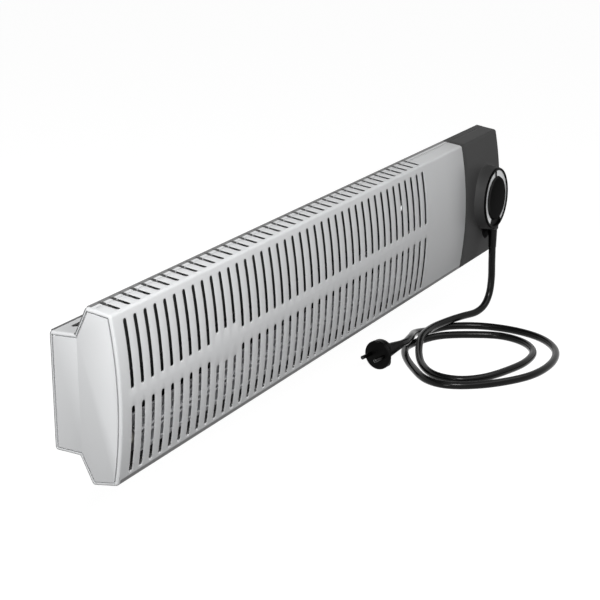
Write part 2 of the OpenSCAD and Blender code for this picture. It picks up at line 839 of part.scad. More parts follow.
module thermostat_body() {
    color("ivory") difference() {
        union() {
            slab(dial_x - stat_w / 2, stat_w, stat_d - stat_l, stat_l, -stat_h / 2, stat_h);
            rod_y(dial_x, stat_d - over, 0, stat_bush_l + over, stat_bush_r);
            for (s = [-1, 1]) slab(dial_x + s * stat_w / 4 - tab_w / 2, tab_w,
                stat_d - stat_l - tab_l, tab_l + over, -stat_h / 4, tab_t);
        }
        rod_y(dial_x, stat_d + stat_bush_l - stat_bore_l, 0, stat_bore_l + over,
            shaft_r + screw_fit);
    }
}

module thermostat_nut() {
    color("silver") difference() {
        rod_y(dial_x, stat_d + sheet_t, 0, nut_t, nut_r, 6);
        rod_y(dial_x, stat_d, 0, nut_t + sheet_t + over, stat_bush_r + screw_fit);
    }
}

module thermostat_bracket() {
    foot_d = wall_t + foot_post_l;
    color("silver") difference() {
        union() {
            slab(dial_x - bracket_w / 2, bracket_w, stat_d, sheet_t, -bracket_h / 2, bracket_h);
            for (s = [0, 1]) translate([dial_x, 0, 0]) mirror([s, 0, 0]) {
                slab(bracket_w / 2 - sheet_t, sheet_t, foot_d, stat_d - foot_d,
                    -bracket_h / 2, bracket_h);
                slab(bracket_w / 2 - sheet_t, bracket_foot_l + sheet_t, foot_d, sheet_t,
                    -bracket_h / 2, bracket_h);
            }
        }
        rod_y(dial_x, joint_d, 0, dial_d - joint_d, stat_bush_r + fit);
        for (s = [-1, 1])
            rod_y(dial_x + s * (bracket_w / 2 + foot_hole_in), foot_d - over, 0,
                sheet_t + 2 * over, screw_r + fit);
    }
}

// A capillary from the thermostat through the bulkhead to its bulb in the lower inlet
module sensor_bulb() {
    end_x = seam_x - bulkhead_in - bulkhead_rim_l;
    stat_end = [dial_x - stat_w / 3, bulb_r - stat_d, -stat_h / 2];
    color("peru") {
        tube(bent([stat_end, stat_end - [0, 0, capillary_bend],
            [seam_x + capillary_lead, -bulb_d, bulb_z], [end_x, -bulb_d, bulb_z]],
            capillary_bend / 2), capillary_r, wire_sides);
        rod_x(end_x - bulb_l, bulb_d, bulb_z, bulb_l, bulb_r);
    }
}

// Element, its hangers and the shield behind it

module heat_shield() {
    x = left_x + shield_in;
    w = seam_x - shield_in - x + cap_t;
    h = shield_top_z - shield_low_z;
    color("silver") difference() {
        union() {
            slab(x, w, shield_d, shield_t, shield_low_z, h);
            slab(x, w, shield_d, shield_lip, shield_low_z, shield_t);
            slab(x, w, shield_d, shield_lip, shield_top_z - shield_t, shield_t);
        }
        for (px = shield_post_x)
            rod_y(px, shield_d - over, shield_post_z, shield_t + 2 * over, screw_r + fit);
    }
}

fins_x = left_x + fins_in;
fins_len = seam_x - fins_out - fins_x;

module element_fins() {
    color("silver") along_x(fins_x, fins_len) translate([-element_d, -element_drop]) difference() {
        union() {
            circle(r = fin_core_r, $fn = fine);
            for (k = [0 : fin_count - 1]) rotate(360 * (k + 0.5) / fin_count) {
                translate([0, -fin_t / 2]) square([fin_reach, fin_t]);
                translate([fin_reach - fin_tip_r, 0]) circle(r = fin_tip_r, $fn = fine);
            }
        }
        circle(r = rod_r + rod_fit, $fn = fine);
    }
}

rod_x0 = fins_x - stub_l;
rod_x1 = fins_x + fins_len + stub_l;

module element_rod() {
    color("slategray") rod_x(rod_x0, element_d, -element_drop, rod_x1 - rod_x0, rod_r);
}

module element_terminals() {
    color("silver") for (x = [rod_x0 - terminal_l, rod_x1]) {
        rod_x(x, element_d, -element_drop, terminal_l, terminal_r);
        rod_x(x + (terminal_l - terminal_nut_t) / 2, element_d, -element_drop,
            terminal_nut_t, terminal_nut_r, 6);
    }
}

// A ceramic bush in a hanger whose plate starts at x; side is 1 where the fins are on its right
module bush(x, side) {
    flange_x = side > 0 ? x + sheet_t : x - bush_flange_t;
    tail_x = side > 0 ? x - bush_tail : x;
    difference() {
        union() {
            rod_x(flange_x, element_d, -element_drop, bush_flange_t, bush_flange_r);
            rod_x(tail_x, element_d, -element_drop, bush_tail + sheet_t, bush_r);
        }
        rod_x(x - body_h, element_d, -element_drop, 2 * body_h, rod_r + rod_fit);
    }
}

module element_bushes() {
    color("white") {
        bush(hanger_left_x, 1);
        bush(hanger_right_x - sheet_t, -1);
    }
}

// A hanger: a plate with the bush's hole and a foot on its post
module hanger(x, foot_x) {
    foot_d = wall_t + foot_post_l;
    difference() {
        union() {
            along_x(x, sheet_t) {
                translate([-element_d, hanger_low_z]) square([element_d - foot_d, hanger_h]);
                translate([-element_d, -element_drop]) circle(r = hanger_r, $fn = fine);
            }
            slab(min(x, foot_x - foot_hole_in), abs(foot_x - x) + foot_hole_in, foot_d, sheet_t,
                hanger_low_z, hanger_h);
        }
        rod_x(x - over, element_d, -element_drop, sheet_t + 2 * over, bush_r + rod_fit);
        rod_y(foot_x, foot_d - over, hanger_foot_z, sheet_t + 2 * over, screw_r + fit);
    }
}

module element_bracket_left() {
    color("silver") hanger(hanger_left_x, hanger_foot_x[0]);
}

module element_bracket_right() {
    color("silver") hanger(hanger_right_x - sheet_t, hanger_foot_x[1]);
}

clip_d = shield_d + shield_t;

module cutout_clip() {
    color("silver") slab(cutout_x - clip_w / 2, clip_w, clip_d, shield_t,
        cutout_z - clip_h / 2, clip_h);
}

module thermal_cutout() {
    back_d = clip_d + shield_t;
    color("#3a3a3a") {
        rod_y(cutout_x, back_d, cutout_z, cutout_h, cutout_r);
        for (s = [-1, 1]) slab(cutout_x + s * (cutout_r + tab_l / 2) - tab_l / 2 - s * over,
            tab_l, back_d + cutout_h / 3, tab_t, cutout_z - tab_w / 2, tab_w);
    }
}

// Terminal block, clamp and relief of the mains lead

module terminal_block() {
    color("ivory") difference() {
        slab(block_x, block_w, wall_t, block_d, block_low_z, block_h);
        for (k = [0 : 2])
            rod_y(block_x + block_w * (k + 0.5) / 3, wall_t + block_d - block_hole_l,
                block_low_z + block_h / 2, block_hole_l + over, block_hole_r);
    }
}

relief_top_z = -hood_drop + hood_wall;

module strain_relief() {
    color("#202020") translate([cord_x, -cord_d, 0]) {
        translate([0, 0, relief_end_z]) cylinder(
            h = relief_l, r1 = relief_end_r, r2 = relief_top_r, $fn = fine);
        translate([0, 0, -hood_drop - over]) cylinder(
            h = hood_wall + 2 * over, r = relief_neck_r, $fn = fine);
        translate([0, 0, relief_top_z]) cylinder(
            h = relief_flange_t, r = relief_flange_r, $fn = fine);
    }
}

// A clamp that presses on the relief's flange, open towards the wall for the wires
module cord_clamp() {
    z = relief_top_z + relief_flange_t;
    color("silver") difference() {
        slab(cord_x - clamp_w / 2, clamp_w, clamp_d - clamp_l, clamp_l, z, clamp_h);
        slab(cord_x - clamp_gap_w / 2, clamp_gap_w, clamp_d - clamp_l - over,
            clamp_l + over - clamp_bar, z - over, clamp_h + 2 * over);
    }
}

module mains_cord() {
    route = concat(curve(cord_route, rings_per_span), [neck_end]);
    echo(cord_length = route_length(curve(cord_route, 8)) + neck_lead_l,
        self_gap = self_gap(curve(cord_route, 6), cord_dia), rings = len(route));
    color("#202020") tube(route, cord_dia / 2, cord_sides);
}

module at_plug() {
    translate(plug_face) rotate([0, 0, plug_turn]) children();
}

// The plug's face looks along its own +X
module plug_body() {
    color("#202020") at_plug() difference() {
        rotate([0, -90, 0]) rotate_extrude($fn = round_fn) polygon([
            [0, 0], [plug_r - pin_tip, 0], [plug_r, pin_tip], [plug_r, plug_l - plug_back_l],
            [plug_back_r, plug_l], [plug_neck_r, plug_l + over],
            [cord_dia / 2 + fit, plug_l + plug_neck_l], [0, plug_l + plug_neck_l]
        ]);
        for (s = [0, 1]) mirror([0, s, 0])
            translate([-plug_l - over, plug_r - plug_flat, -plug_r])
                cube([plug_l + over - plug_grip_in, plug_r, 2 * plug_r]);
        for (s = [0, 1]) mirror([0, 0, s])
            translate([-earth_clip_l, -earth_clip_w / 2, clip_r - earth_clip_t / 2])
                cube([earth_clip_l + over, earth_clip_w, plug_r]);
    }
}

module plug_pins() {
    color("silver") at_plug() for (s = [-1, 1]) translate([0, s * pin_span / 2, 0])
        rotate([0, 90, 0]) rotate_extrude($fn = fine) polygon([
            [0, 0], [pin_r, 0], [pin_r, pin_l - pin_tip], [pin_r - pin_tip, pin_l], [0, pin_l]
        ]);
}

module plug_earth_clips() {
    color("silver") at_plug() for (s = [0, 1]) mirror([0, 0, s])
        translate([-earth_clip_l, -earth_clip_w / 2, clip_r - earth_clip_t / 2])
            cube([earth_clip_l, earth_clip_w, earth_clip_t]);
}

// Wires inside the housing

wire_start_z = relief_top_z + relief_flange_t;
wire_start_d = cord_d - relief_flange_r / 2;
block_face_d = wall_t + block_d;
block_hole_z = block_low_z + block_h / 2;

// Where conductor k leaves the relief, up and back to its place inside the housing
function lead_in(k) =
    let (x = cord_x + (k - 1) * wire_gap)
    [[x, -wire_start_d, wire_start_z], [x, -wire_start_d, wire_start_z + wire_rise],
     [x, -wire_in_d, wire_start_z + wire_rise - (2 - k) * wire_gap]];

// The end of a wire in hole k of the terminal block
function block_end(k) =
    let (x = block_x + block_w * (k + 0.5) / 3)
    [[x, -block_face_d - 3 * wire_bend, block_hole_z], [x, -block_face_d + over, block_hole_z]];

module wire(points) {
    tube(bent(points, wire_bend / 2), wire_r, wire_sides);
}

module live_wire() {
    color("sienna") wire(concat(lead_in(2), block_end(2)));
}

module neutral_wire() {
    color("steelblue") wire(concat(lead_in(1), block_end(1)));
}

module earth_wire() {
    x = seam_x - bulkhead_in + sheet_t + wire_r + fit;
    end_z = earth_z - earth_head_r - fit;
    color("yellowgreen") wire(concat(lead_in(0), [
        [x + 2 * wire_bend, -earth_d, wire_start_z / 2],
        [x, -earth_d, end_z - 3 * wire_bend], [x, -earth_d, end_z]]));
}

// From the far end of the rod behind the shield to the thermostat, and from the near end
// to the terminal block
module element_wires() {
    bulk_x = seam_x - bulkhead_in;
    far_x = rod_x0 - terminal_l;
    near_x = rod_x1 + terminal_l;
    leg_x = dial_x - bracket_w / 2;
    tab_x = dial_x - stat_w / 4;
    tab_d = stat_d - stat_l - tab_l;
    under_z = -bracket_h / 2 - 2 * wire_bend;
    color("whitesmoke") {
        wire([[far_x, -element_d, -element_drop],
            [far_x - 2 * wire_bend, -element_d, -element_drop],
            [far_x - 3 * wire_bend, -shield_d, shield_wire_z - wire_bend],
            [far_x, -shield_wire_d, shield_wire_z],
            [bulk_x + 2 * wire_bend, -shield_wire_d, shield_wire_z],
            [leg_x - wire_bend, -tab_d / 2, under_z], [leg_x + 2 * wire_bend, -tab_d / 2, under_z],
            [tab_x, -tab_d + 3 * wire_bend, -stat_h / 4], [tab_x, -tab_d, -stat_h / 4]]);
        wire(concat([[near_x, -element_d, -element_drop],
            [near_x + 2 * wire_bend, -element_d, -element_drop],
            [bulk_x - 2 * wire_bend, -return_wire_d, return_wire_z],
            [bulk_x + 4 * wire_bend, -return_wire_d, return_wire_z],
            [block_x + block_w / 6, -joint_d / 2 - 2 * wire_bend, return_wire_z]],
            block_end(0)));
    }
}

// Screws

module cover_screws() {
    color("silver") at_cover_screws() {
        translate([0, 0, -cover_screw_len + over]) cylinder(
            h = cover_screw_len - over, r = screw_r, $fn = fine);
        cylinder(h = screw_head_h, r = screw_head_r, $fn = fine);
    }
}

// The heads sit deep in their wells, towards the wall
module control_screws() {
    head_d = head_post_d - head_post_floor;
    color("silver") for (x = head_post_x, s = [-1, 1]) {
        rod_y(x, head_d - screw_head_h, s * head_post_z, screw_head_h, head_screw_head_r);
        rod_y(x, head_d, s * head_post_z, head_screw_len - over, head_screw_r);
    }
}

module bracket_screws() {
    d = wall_t + foot_post_l + sheet_t;
    color("silver") {
        for (x = hanger_foot_x) screw_y(x, d, hanger_foot_z, foot_post_l + sheet_t);
        for (s = [-1, 1]) screw_y(dial_x + s * (bracket_w / 2 + foot_hole_in), d, 0,
            foot_post_l + sheet_t);
    }
}

module shield_screws() {
    color("silver") for (x = shield_post_x) screw_y(x, shield_d + shield_t, shield_post_z);
}

module earth_screw() {
    x = seam_x - bulkhead_in + sheet_t;
    color("silver") {
        rod_x(x, earth_d, earth_z, earth_head_h, earth_head_r);
        rod_x(x - earth_screw_len, earth_d, earth_z, earth_screw_len, earth_screw_r);
    }
}

front_cover();
rear_casing();
left_end_cap();
bulkhead();
control_housing();
control_rear_cover();
dial_bezel();
scale_ring();
control_knob();
knob_pointer();
thermostat_shaft();
thermostat_body();
thermostat_nut();
thermostat_bracket();
sensor_bulb();
heat_shield();
element_fins();
element_rod();
element_terminals();
element_bushes();
element_bracket_left();
element_bracket_right();
thermal_cutout();
cutout_clip();
terminal_block();
cord_clamp();
strain_relief();
mains_cord();
plug_body();
plug_pins();
plug_earth_clips();
live_wire();
neutral_wire();
earth_wire();
element_wires();
cover_screws();
control_screws();
bracket_screws();
shield_screws();
earth_screw();
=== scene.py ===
"""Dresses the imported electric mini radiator: covers, head, dial, element and mains lead."""

import math

import bmesh
import bpy
from bpy.props import FloatProperty, FloatVectorProperty, IntProperty, PointerProperty
from mathutils import Matrix, Vector


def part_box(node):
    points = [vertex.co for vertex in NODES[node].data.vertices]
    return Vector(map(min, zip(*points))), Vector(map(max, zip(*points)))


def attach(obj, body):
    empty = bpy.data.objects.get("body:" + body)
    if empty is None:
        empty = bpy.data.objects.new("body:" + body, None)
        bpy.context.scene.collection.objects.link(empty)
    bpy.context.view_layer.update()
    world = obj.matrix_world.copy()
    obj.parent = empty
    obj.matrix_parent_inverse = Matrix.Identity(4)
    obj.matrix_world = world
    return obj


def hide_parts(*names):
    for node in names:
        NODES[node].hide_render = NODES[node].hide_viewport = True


bl_info = {
    "name": "Mini Radiator Dressing",
    "version": (1, 0, 0),
    "blender": (4, 5, 0),
    "location": "View3D > Sidebar > Radiator",
    "description": "Builds the looks of a wall-hung mini radiator round its packed frame",
    "category": "Object",
}

MM = 0.001

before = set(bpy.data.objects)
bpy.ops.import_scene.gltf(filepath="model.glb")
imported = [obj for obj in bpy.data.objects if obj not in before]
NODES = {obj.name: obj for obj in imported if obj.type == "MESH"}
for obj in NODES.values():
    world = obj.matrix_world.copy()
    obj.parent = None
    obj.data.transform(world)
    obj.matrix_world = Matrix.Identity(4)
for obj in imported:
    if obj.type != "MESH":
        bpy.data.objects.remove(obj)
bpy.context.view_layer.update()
COVER_LOW, COVER_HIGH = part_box("front_cover")
CASING_LOW, CASING_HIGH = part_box("rear_casing")
CAP_LOW, CAP_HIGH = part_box("left_end_cap")
HEAD_LOW, HEAD_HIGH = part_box("control_housing")
BEZEL_LOW, BEZEL_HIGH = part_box("dial_bezel")
KNOB_LOW, KNOB_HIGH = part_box("control_knob")
RELIEF_LOW, RELIEF_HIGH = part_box("strain_relief")


def srgb(code):
    """The linear colour of an sRGB hex value."""
    parts = [int(code[i : i + 2], 16) / 255 for i in (1, 3, 5)]
    return tuple(c / 12.92 if c <= 0.04045 else ((c + 0.055) / 1.055) ** 2.4 for c in parts)


def length(title, about, value, low=0.0):
    """A length property, its default given in millimetres."""
    return FloatProperty(name=title, description=about, default=value * MM, min=low, unit="LENGTH",
                         precision=4)


def colour(title, about, code):
    """A colour property, its default given as sRGB hex."""
    return FloatVectorProperty(name=title, description=about, default=srgb(code), size=3,
                               subtype="COLOR", min=0, max=1)


# Settings that a user would change


class HousingSettings(bpy.types.PropertyGroup):
    """Sizes of the slotted housing."""

    body_height: length("Body height", "Height at the highest corner", 170)
    front_height: length("Front height", "Height between the front's corners", 162)
    corner_depth: length("Corner depth", "Depth from the wall to the highest corner", 40.5)
    front_depth: length("Front depth", "Depth from the wall to the front corner", 67.5)
    bulge: length("Bulge", "How far the front bulges past its corners", 7.7)
    plinth_height: length("Plinth height", "Height of the part against the wall", 115)
    plinth_depth: length("Plinth depth", "Depth from the wall to the notch", 27.5)
    ledge_rise: length("Ledge rise", "Rise of the ledge towards the notch", 1)
    wall: length("Wall", "Wall of the mouldings", 2)
    corner_round: length("Corner round", "Rounding of the front corners", 3.5)
    edge_round: length("Edge round", "Rounding of slots and seams", 0.35)
    slot_width: length("Slot width", "Width of a slot", 5.4)
    slot_pitch: length("Slot pitch", "Distance from slot to slot", 16.5)
    slot_height: length("Slot height", "Height of a front slot", 65.5)
    slot_land: length("Slot land", "Depth at which a slot starts to widen inwards", 0.45)
    slot_flare: length("Slot flare", "How far each side of a slot widens inwards", 3.0)
    slot_start: length("First slot", "Distance from the left end to the first slot", 19.7)
    slot_count: IntProperty(name="Slots", description="Number of slot columns", default=40, min=2)
    band: length("Band", "Height of the plain band between the rows", 16)
    short_first: IntProperty(name="First short slot", description="Counted from the left",
                             default=10, min=1)
    short_count: IntProperty(name="Short slots", description="Number of short slots", default=3)
    short_by: length("Shortened by", "How much the short slots lose at the band", 8)
    top_slot_depth: length("Top slot tip", "Depth from the wall to a top slot's front end", 64)
    cap_round: length("Cap round", "Rounding of the end cap's rim", 2.6)
    cap_groove: length("Cap groove", "Width of the groove round the end plate", 1.2)


class HeadSettings(bpy.types.PropertyGroup):
    """Sizes of the thermostat head's front."""

    boss_radius: length("Boss radius", "Radius of the boss's front rim", 40.2)
    boss_foot: length("Boss foot", "Radius at which the boss flows into the front", 42.8)
    boss_depth: length("Boss depth", "Depth from the wall to the boss's rim", 87.4)
    seat_radius: length("Seat radius", "Radius of the hole that the dial sits in", 38.4)
    hood_drop: length("Hood drop", "Drop from the dial's centre to the hood's underside", 43)
    hood_foot: length("Hood foot", "Width of the cord hood at its foot", 26)
    hood_front: length("Hood front", "Width of the cord hood at its front", 13.5)
    hood_foot_depth: length("Hood foot depth", "Depth from the wall to the hood's foot", 72)
    hood_depth: length("Hood depth", "Depth from the wall to the hood's front", 88.6)
    hood_lip: length("Hood lip", "How far the lip along the hood's underside stands out", 1.1)
    hood_level: length("Hood level", "Width over which the underside is level", 17.8)
    hood_rise: FloatProperty(name="Hood rise", description="Rise of the underside beside the hood",
                             default=0.365)
    scoop_drop: length("Scoop drop", "Drop from the dial's centre to the scoop's low tip", 58.5)
    scoop_height: length("Scoop height", "From the scoop's middle to its low tip", 26.5)
    scoop_width: length("Scoop width", "Width of the scoop under the hood", 47)
    scoop_depth: length("Scoop depth", "Depth of the scoop that the lead hangs in", 9)
    end_round: length("End round", "Rounding of the head's right edge", 1)


class DialSettings(bpy.types.PropertyGroup):
    """Sizes of the dial."""

    lip: length("Lip", "Width of the bezel's raised lip", 2.8)
    floor_depth: length("Floor", "Depth from the wall to the bezel's floor", 87.2)
    back_depth: length("Back", "Depth from the wall to the bezel's back", 85)
    scale_inner: length("Scale inner radius", "Inner radius of the silver scale", 28.9)
    scale_sweep: FloatProperty(name="Scale sweep", description="Angle that the scale covers",
                               default=math.radians(300), subtype="ANGLE")
    dish: length("Dish", "Depth of the knob's dish", 2.6)
    knob_edge: length("Knob edge", "Width of the knob's raised edge", 1.6)


class LeadSettings(bpy.types.PropertyGroup):
    """Sizes of the mains lead."""

    diameter: length("Lead diameter", "Outer diameter of the sheath", 9.4)
    plug_radius: length("Plug radius", "Radius of the plug's body", 18.2)
    plug_length: length("Plug length", "Length of the plug's body", 13.5)
    neck_length: length("Neck length", "Length of the plug's tapered neck", 38.5)


class FinishSettings(bpy.types.PropertyGroup):
    """Colours of the visible surfaces."""

    cover: colour("Covers", "Light grey of the housing", "#C4C5C6")
    head: colour("Head", "Anthracite of the thermostat head", "#404040")
    bezel: colour("Bezel", "Black of the dial's ring", "#080808")
    knob: colour("Knob", "Black of the knob", "#262626")
    scale: colour("Scale", "Silver of the scale", "#C6C7C8")
    lead: colour("Lead", "Black of the lead and plug", "#0A0A0A")
    # Painted shade: this darker grey stands for the shade on the casing's inner side, slot walls
    # and joint
    inside: colour("Inside", "Dull inner side of the casing", "#626262")


class StageSettings(bpy.types.PropertyGroup):
    """Camera, lamps and floor."""

    eye: FloatVectorProperty(name="Camera place", description="Where the camera stands",
                             default=(-1.6212, -0.8804, 0.5334), subtype="TRANSLATION")
    yaw: FloatProperty(name="Yaw", description="Camera heading, from +Y towards +X",
                       default=1.080, subtype="ANGLE")
    pitch: FloatProperty(name="Pitch", description="Camera tilt, up is positive",
                         default=-0.301, subtype="ANGLE")
    roll: FloatProperty(name="Roll", description="Camera roll", default=-0.007, subtype="ANGLE")
    lens: FloatProperty(name="Lens", description="Focal length", default=102.0, unit="CAMERA")
    floor_level: length("Floor level", "Height of the floor that the lead lies on", -165, low=-10)
    key_power: FloatProperty(name="Key lamp", description="Power of the key lamp", default=28)
    ambient: FloatProperty(name="Ambient", description="Strength of the surrounding light",
                           default=0.06)


class RadiatorSettings(bpy.types.PropertyGroup):
    """All settings of the radiator."""

    housing: PointerProperty(type=HousingSettings)
    head: PointerProperty(type=HeadSettings)
    dial: PointerProperty(type=DialSettings)
    lead: PointerProperty(type=LeadSettings)
    finish: PointerProperty(type=FinishSettings)
    stage: PointerProperty(type=StageSettings)


# Geometry of lines, rings and shells


def line_offset(points, distance):
    """A closed counterclockwise outline moved inwards, with mitred corners."""
    moved = []
    for i, point in enumerate(points):
        before, after = points[i - 1], points[(i + 1) % len(points)]
        first = (point - before).normalized().orthogonal()
        second = (after - point).normalized().orthogonal()
        moved.append(point + (first + second) * distance / (1 + first.dot(second)))
    return moved


def rounded_outline(points, radius, steps=5, least_turn=0.26):
    """The outline with an arc in place of each corner that turns by more than least_turn."""
    line = []
    for i, point in enumerate(points):
        before, after = points[i - 1], points[(i + 1) % len(points)]
        come, go = (point - before).normalized(), (after - point).normalized()
        turn = come.angle_signed(go)
        if abs(turn) < least_turn:
            line.append(point)
            continue
        reach = radius * math.tan(abs(turn) / 2)
        side = come.orthogonal() * (1 if come.orthogonal().dot(go) > 0 else -1)
        centre = point - come * reach + side * radius
        spoke = point - come * reach - centre
        for k in range(steps + 1):
            turned = spoke.copy()
            turned.rotate(Matrix.Rotation(-turn * k / steps, 2))
            line.append(centre + turned)
    return line


class Skin:
    """The housing's outer skin as a line in depth and height, run from mid height upwards."""

    def __init__(self, sizes):
        half, bulge = sizes.front_height / 2, sizes.bulge
        self.radius = (half**2 + bulge**2) / (2 * bulge)
        self.centre = Vector((self.radius - sizes.front_depth - bulge, 0))
        self.round = sizes.corner_round
        fall = (sizes.body_height - sizes.front_height) / 2
        self.along = Vector((sizes.corner_depth - sizes.front_depth, -fall)).normalized()
        self.inward = Vector((-self.along.y, self.along.x))
        self.peak = Vector((-sizes.corner_depth, sizes.body_height / 2))
        base = self.peak + self.round * self.inward - self.centre
        reach = base.dot(self.along)
        self.slope_run = -reach + math.sqrt(
            reach**2 - base.length_squared + (self.radius - self.round) ** 2)
        self.hub = self.peak + self.round * self.inward + self.slope_run * self.along
        spoke = self.hub - self.centre
        self.front_angle = math.atan2(spoke.y, -spoke.x)
        self.top_angle = math.atan2(-self.inward.y, self.inward.x)
        self.front_run = self.radius * self.front_angle
        self.round_run = self.front_run + self.round * (self.top_angle - self.front_angle)

    def run_at_height(self, height):
        """The run along the front to a height."""
        return self.radius * math.asin(height / self.radius)

    def run_at_depth(self, depth):
        """The run to a depth from the wall, on the top slope."""
        return self.round_run + self.slope_run - (depth + self.peak.x) / -self.along.x

    def at(self, run, sunk=0.0):
        """Depth and height of the skin at a run, sunk below it."""
        up, run = math.copysign(1, run), abs(run)
        if run <= self.front_run:
            angle = run / self.radius
            out = Vector((-math.cos(angle), math.sin(angle)))
            place = self.centre + self.radius * out
        elif run <= self.round_run:
            angle = self.front_angle + (run - self.front_run) / self.round
            out = Vector((-math.cos(angle), math.sin(angle)))
            place = self.hub + self.round * out
        else:
            out = -self.inward
            place = self.hub + self.round * out - (run - self.round_run) * self.along
        place = place - sunk * out
        return Vector((place.x, up * place.y))


class MeshMaker:
    """Collects vertices and faces, and shares vertices that lie at one place."""

    def __init__(self):
        self.places, self.index, self.faces, self.kinds = [], {}, [], []

    def vertex(self, place):
        key = tuple(round(c / MM, 4) for c in place)
        if key not in self.index:
            self.index[key] = len(self.places)
            self.places.append(tuple(place))
        return self.index[key]

    def face(self, places, kind=0):
        """Adds a face; corners that fall together are counted once."""
        corners = []
        for place in places:
            corner = self.vertex(place)
            if corner not in corners:
                corners.append(corner)
        if len(corners) > 2:
            self.faces.append(corners)
            self.kinds.append(kind)

    def rings(self, rings, close=True, caps=(True, True), kind=0):
        """Joins rings of equal counts by bands, and closes the first and the last one."""
        last = len(rings[0]) if close else len(rings[0]) - 1
        for low, high in zip(rings, rings[1:]):
            for k in range(last):
                n = (k + 1) % len(low)
                self.face([low[k], low[n], high[n], high[k]], kind)
        if caps[0]:
            self.face(rings[0][::-1], kind)
        if caps[1]:
            self.face(rings[-1], kind)

    def piece(self, name, sharp=35.0):
        """A new object from what was collected, smooth but for its sharp edges."""
        mesh = bpy.data.meshes.new(name)
        mesh.from_pydata(self.places, [], self.faces)
        mesh.polygons.foreach_set("material_index", self.kinds)
        shape = bmesh.new()
        shape.from_mesh(mesh)
        bmesh.ops.recalc_face_normals(shape, faces=shape.faces)
        shape.to_mesh(mesh)
        shape.free()
        mesh.shade_smooth()
        mesh.set_sharp_from_angle(angle=math.radians(sharp))
        made = bpy.data.objects.new(name, mesh)
        bpy.context.collection.objects.link(made)
        return made


# How far a 45 degree point of a rounded edge lies in, as a share of its radius
BEVEL_SHARE = 0.29


def quarter_arc(steps):
    """Sines and cosines of a quarter turn in even steps."""
    angles = [math.radians(90 * k / steps) for k in range(steps + 1)]
    return [(math.sin(angle), math.cos(angle)) for angle in angles]


def full_turn(steps):
    """Sines and cosines all round in even steps."""
    angles = [math.tau * k / steps for k in range(steps)]
    return [(math.sin(angle), math.cos(angle)) for angle in angles]


def turned_rings(profile, middle, steps=128, start=0.0, sweep=math.tau):
    """Rings about a line through middle along Y, from radii and depths from the wall."""
    count = steps if sweep >= math.tau else steps + 1
    angles = [start + sweep * k / steps for k in range(count)]
    return [[Vector((middle[0] + radius * math.sin(angle), -depth,
                     middle[1] + radius * math.cos(angle))) for angle in angles]
            for radius, depth in profile]


def soften(piece, width, limit=40.0, segments=2):
    """Welds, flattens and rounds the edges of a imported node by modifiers."""
    weld = piece.modifiers.new("weld", "WELD")
    weld.merge_threshold = 0.02 * MM
    flat = piece.modifiers.new("flat", "DECIMATE")
    flat.decimate_type = "DISSOLVE"
    flat.angle_limit = math.radians(0.5)
    edge = piece.modifiers.new("edge", "BEVEL")
    edge.width, edge.segments = width, segments
    edge.limit_method, edge.angle_limit = "ANGLE", math.radians(limit)
    edge.harden_normals = False


# Materials


def add_node(tree, kind, inputs=None, **settings):
    """Adds a node, sets it, and sets or links its inputs."""
    made = tree.nodes.new(kind)
    for name, value in settings.items():
        setattr(made, name, value)
    for name, value in (inputs or {}).items():
        if isinstance(value, bpy.types.NodeSocket):
            tree.links.new(value, made.inputs[name])
        else:
            made.inputs[name].default_value = value
    return made


def math_of(tree, operation, first, second=0.0):
    """The result of a sum on numbers."""
    return add_node(tree, "ShaderNodeMath", {0: first, 1: second}, operation=operation).outputs[0]


def vector_of(tree, operation, first, second=(0, 0, 0)):
    """The result of a sum on vectors, which is a number for a length or a dot product."""
    made = add_node(tree, "ShaderNodeVectorMath", {0: first, 1: second}, operation=operation)
    return made.outputs["Value" if operation in ("LENGTH", "DOT_PRODUCT") else "Vector"]


def parts_of(tree, vector):
    """The X, Y and Z of a vector."""
    return add_node(tree, "ShaderNodeSeparateXYZ", {"Vector": vector}).outputs


def face_normal(tree):
    """The direction that each flat face looks in."""
    return add_node(tree, "ShaderNodeNewGeometry").outputs["True Normal"]


def noise_of(tree, place, size, detail=2.0, roughness=0.5):
    """A cloudy pattern from 0 to 1 with clouds of one size."""
    return add_node(tree, "ShaderNodeTexNoise", {
        "Vector": place, "Scale": 1 / size, "Detail": detail, "Roughness": roughness}
    ).outputs["Fac"]


def streaks(tree, place, sizes, detail=2.0):
    """The same pattern with clouds of another size along each axis."""
    stretched = add_node(tree, "ShaderNodeMapping", {
        "Vector": place, "Scale": [1 / size for size in sizes]})
    return noise_of(tree, stretched.outputs["Vector"], 1.0, detail)


def mask(tree, value, start, full, low=0.0, high=1.0):
    """Goes from low to high while a value goes from start to full."""
    return add_node(tree, "ShaderNodeMapRange", {
        "Value": value, "From Min": start, "From Max": full, "To Min": low, "To Max": high}
    ).outputs["Result"]


def vary_gloss(tree, shader, pattern, low, high):
    """Lets the roughness go from low to high with a pattern."""
    tree.links.new(mask(tree, pattern, 0.0, 1.0, low, high), shader.inputs["Roughness"])


def emboss(tree, shader, pattern, strength, depth):
    """Lets a pattern stand out of the surface."""
    bump = add_node(tree, "ShaderNodeBump", {
        "Height": pattern, "Strength": strength, "Distance": depth})
    tree.links.new(bump.outputs["Normal"], shader.inputs["Normal"])


def tint_where(tree, shader, share, tint):
    """Mixes another colour into a shader's own one by a mask."""
    base = shader.inputs["Base Color"]
    mixed = add_node(tree, "ShaderNodeMix", {
        "Factor": share, "A": base.links[0].from_socket, "B": (*tint, 1)}, data_type="RGBA")
    tree.links.new(mixed.outputs["Result"], base)


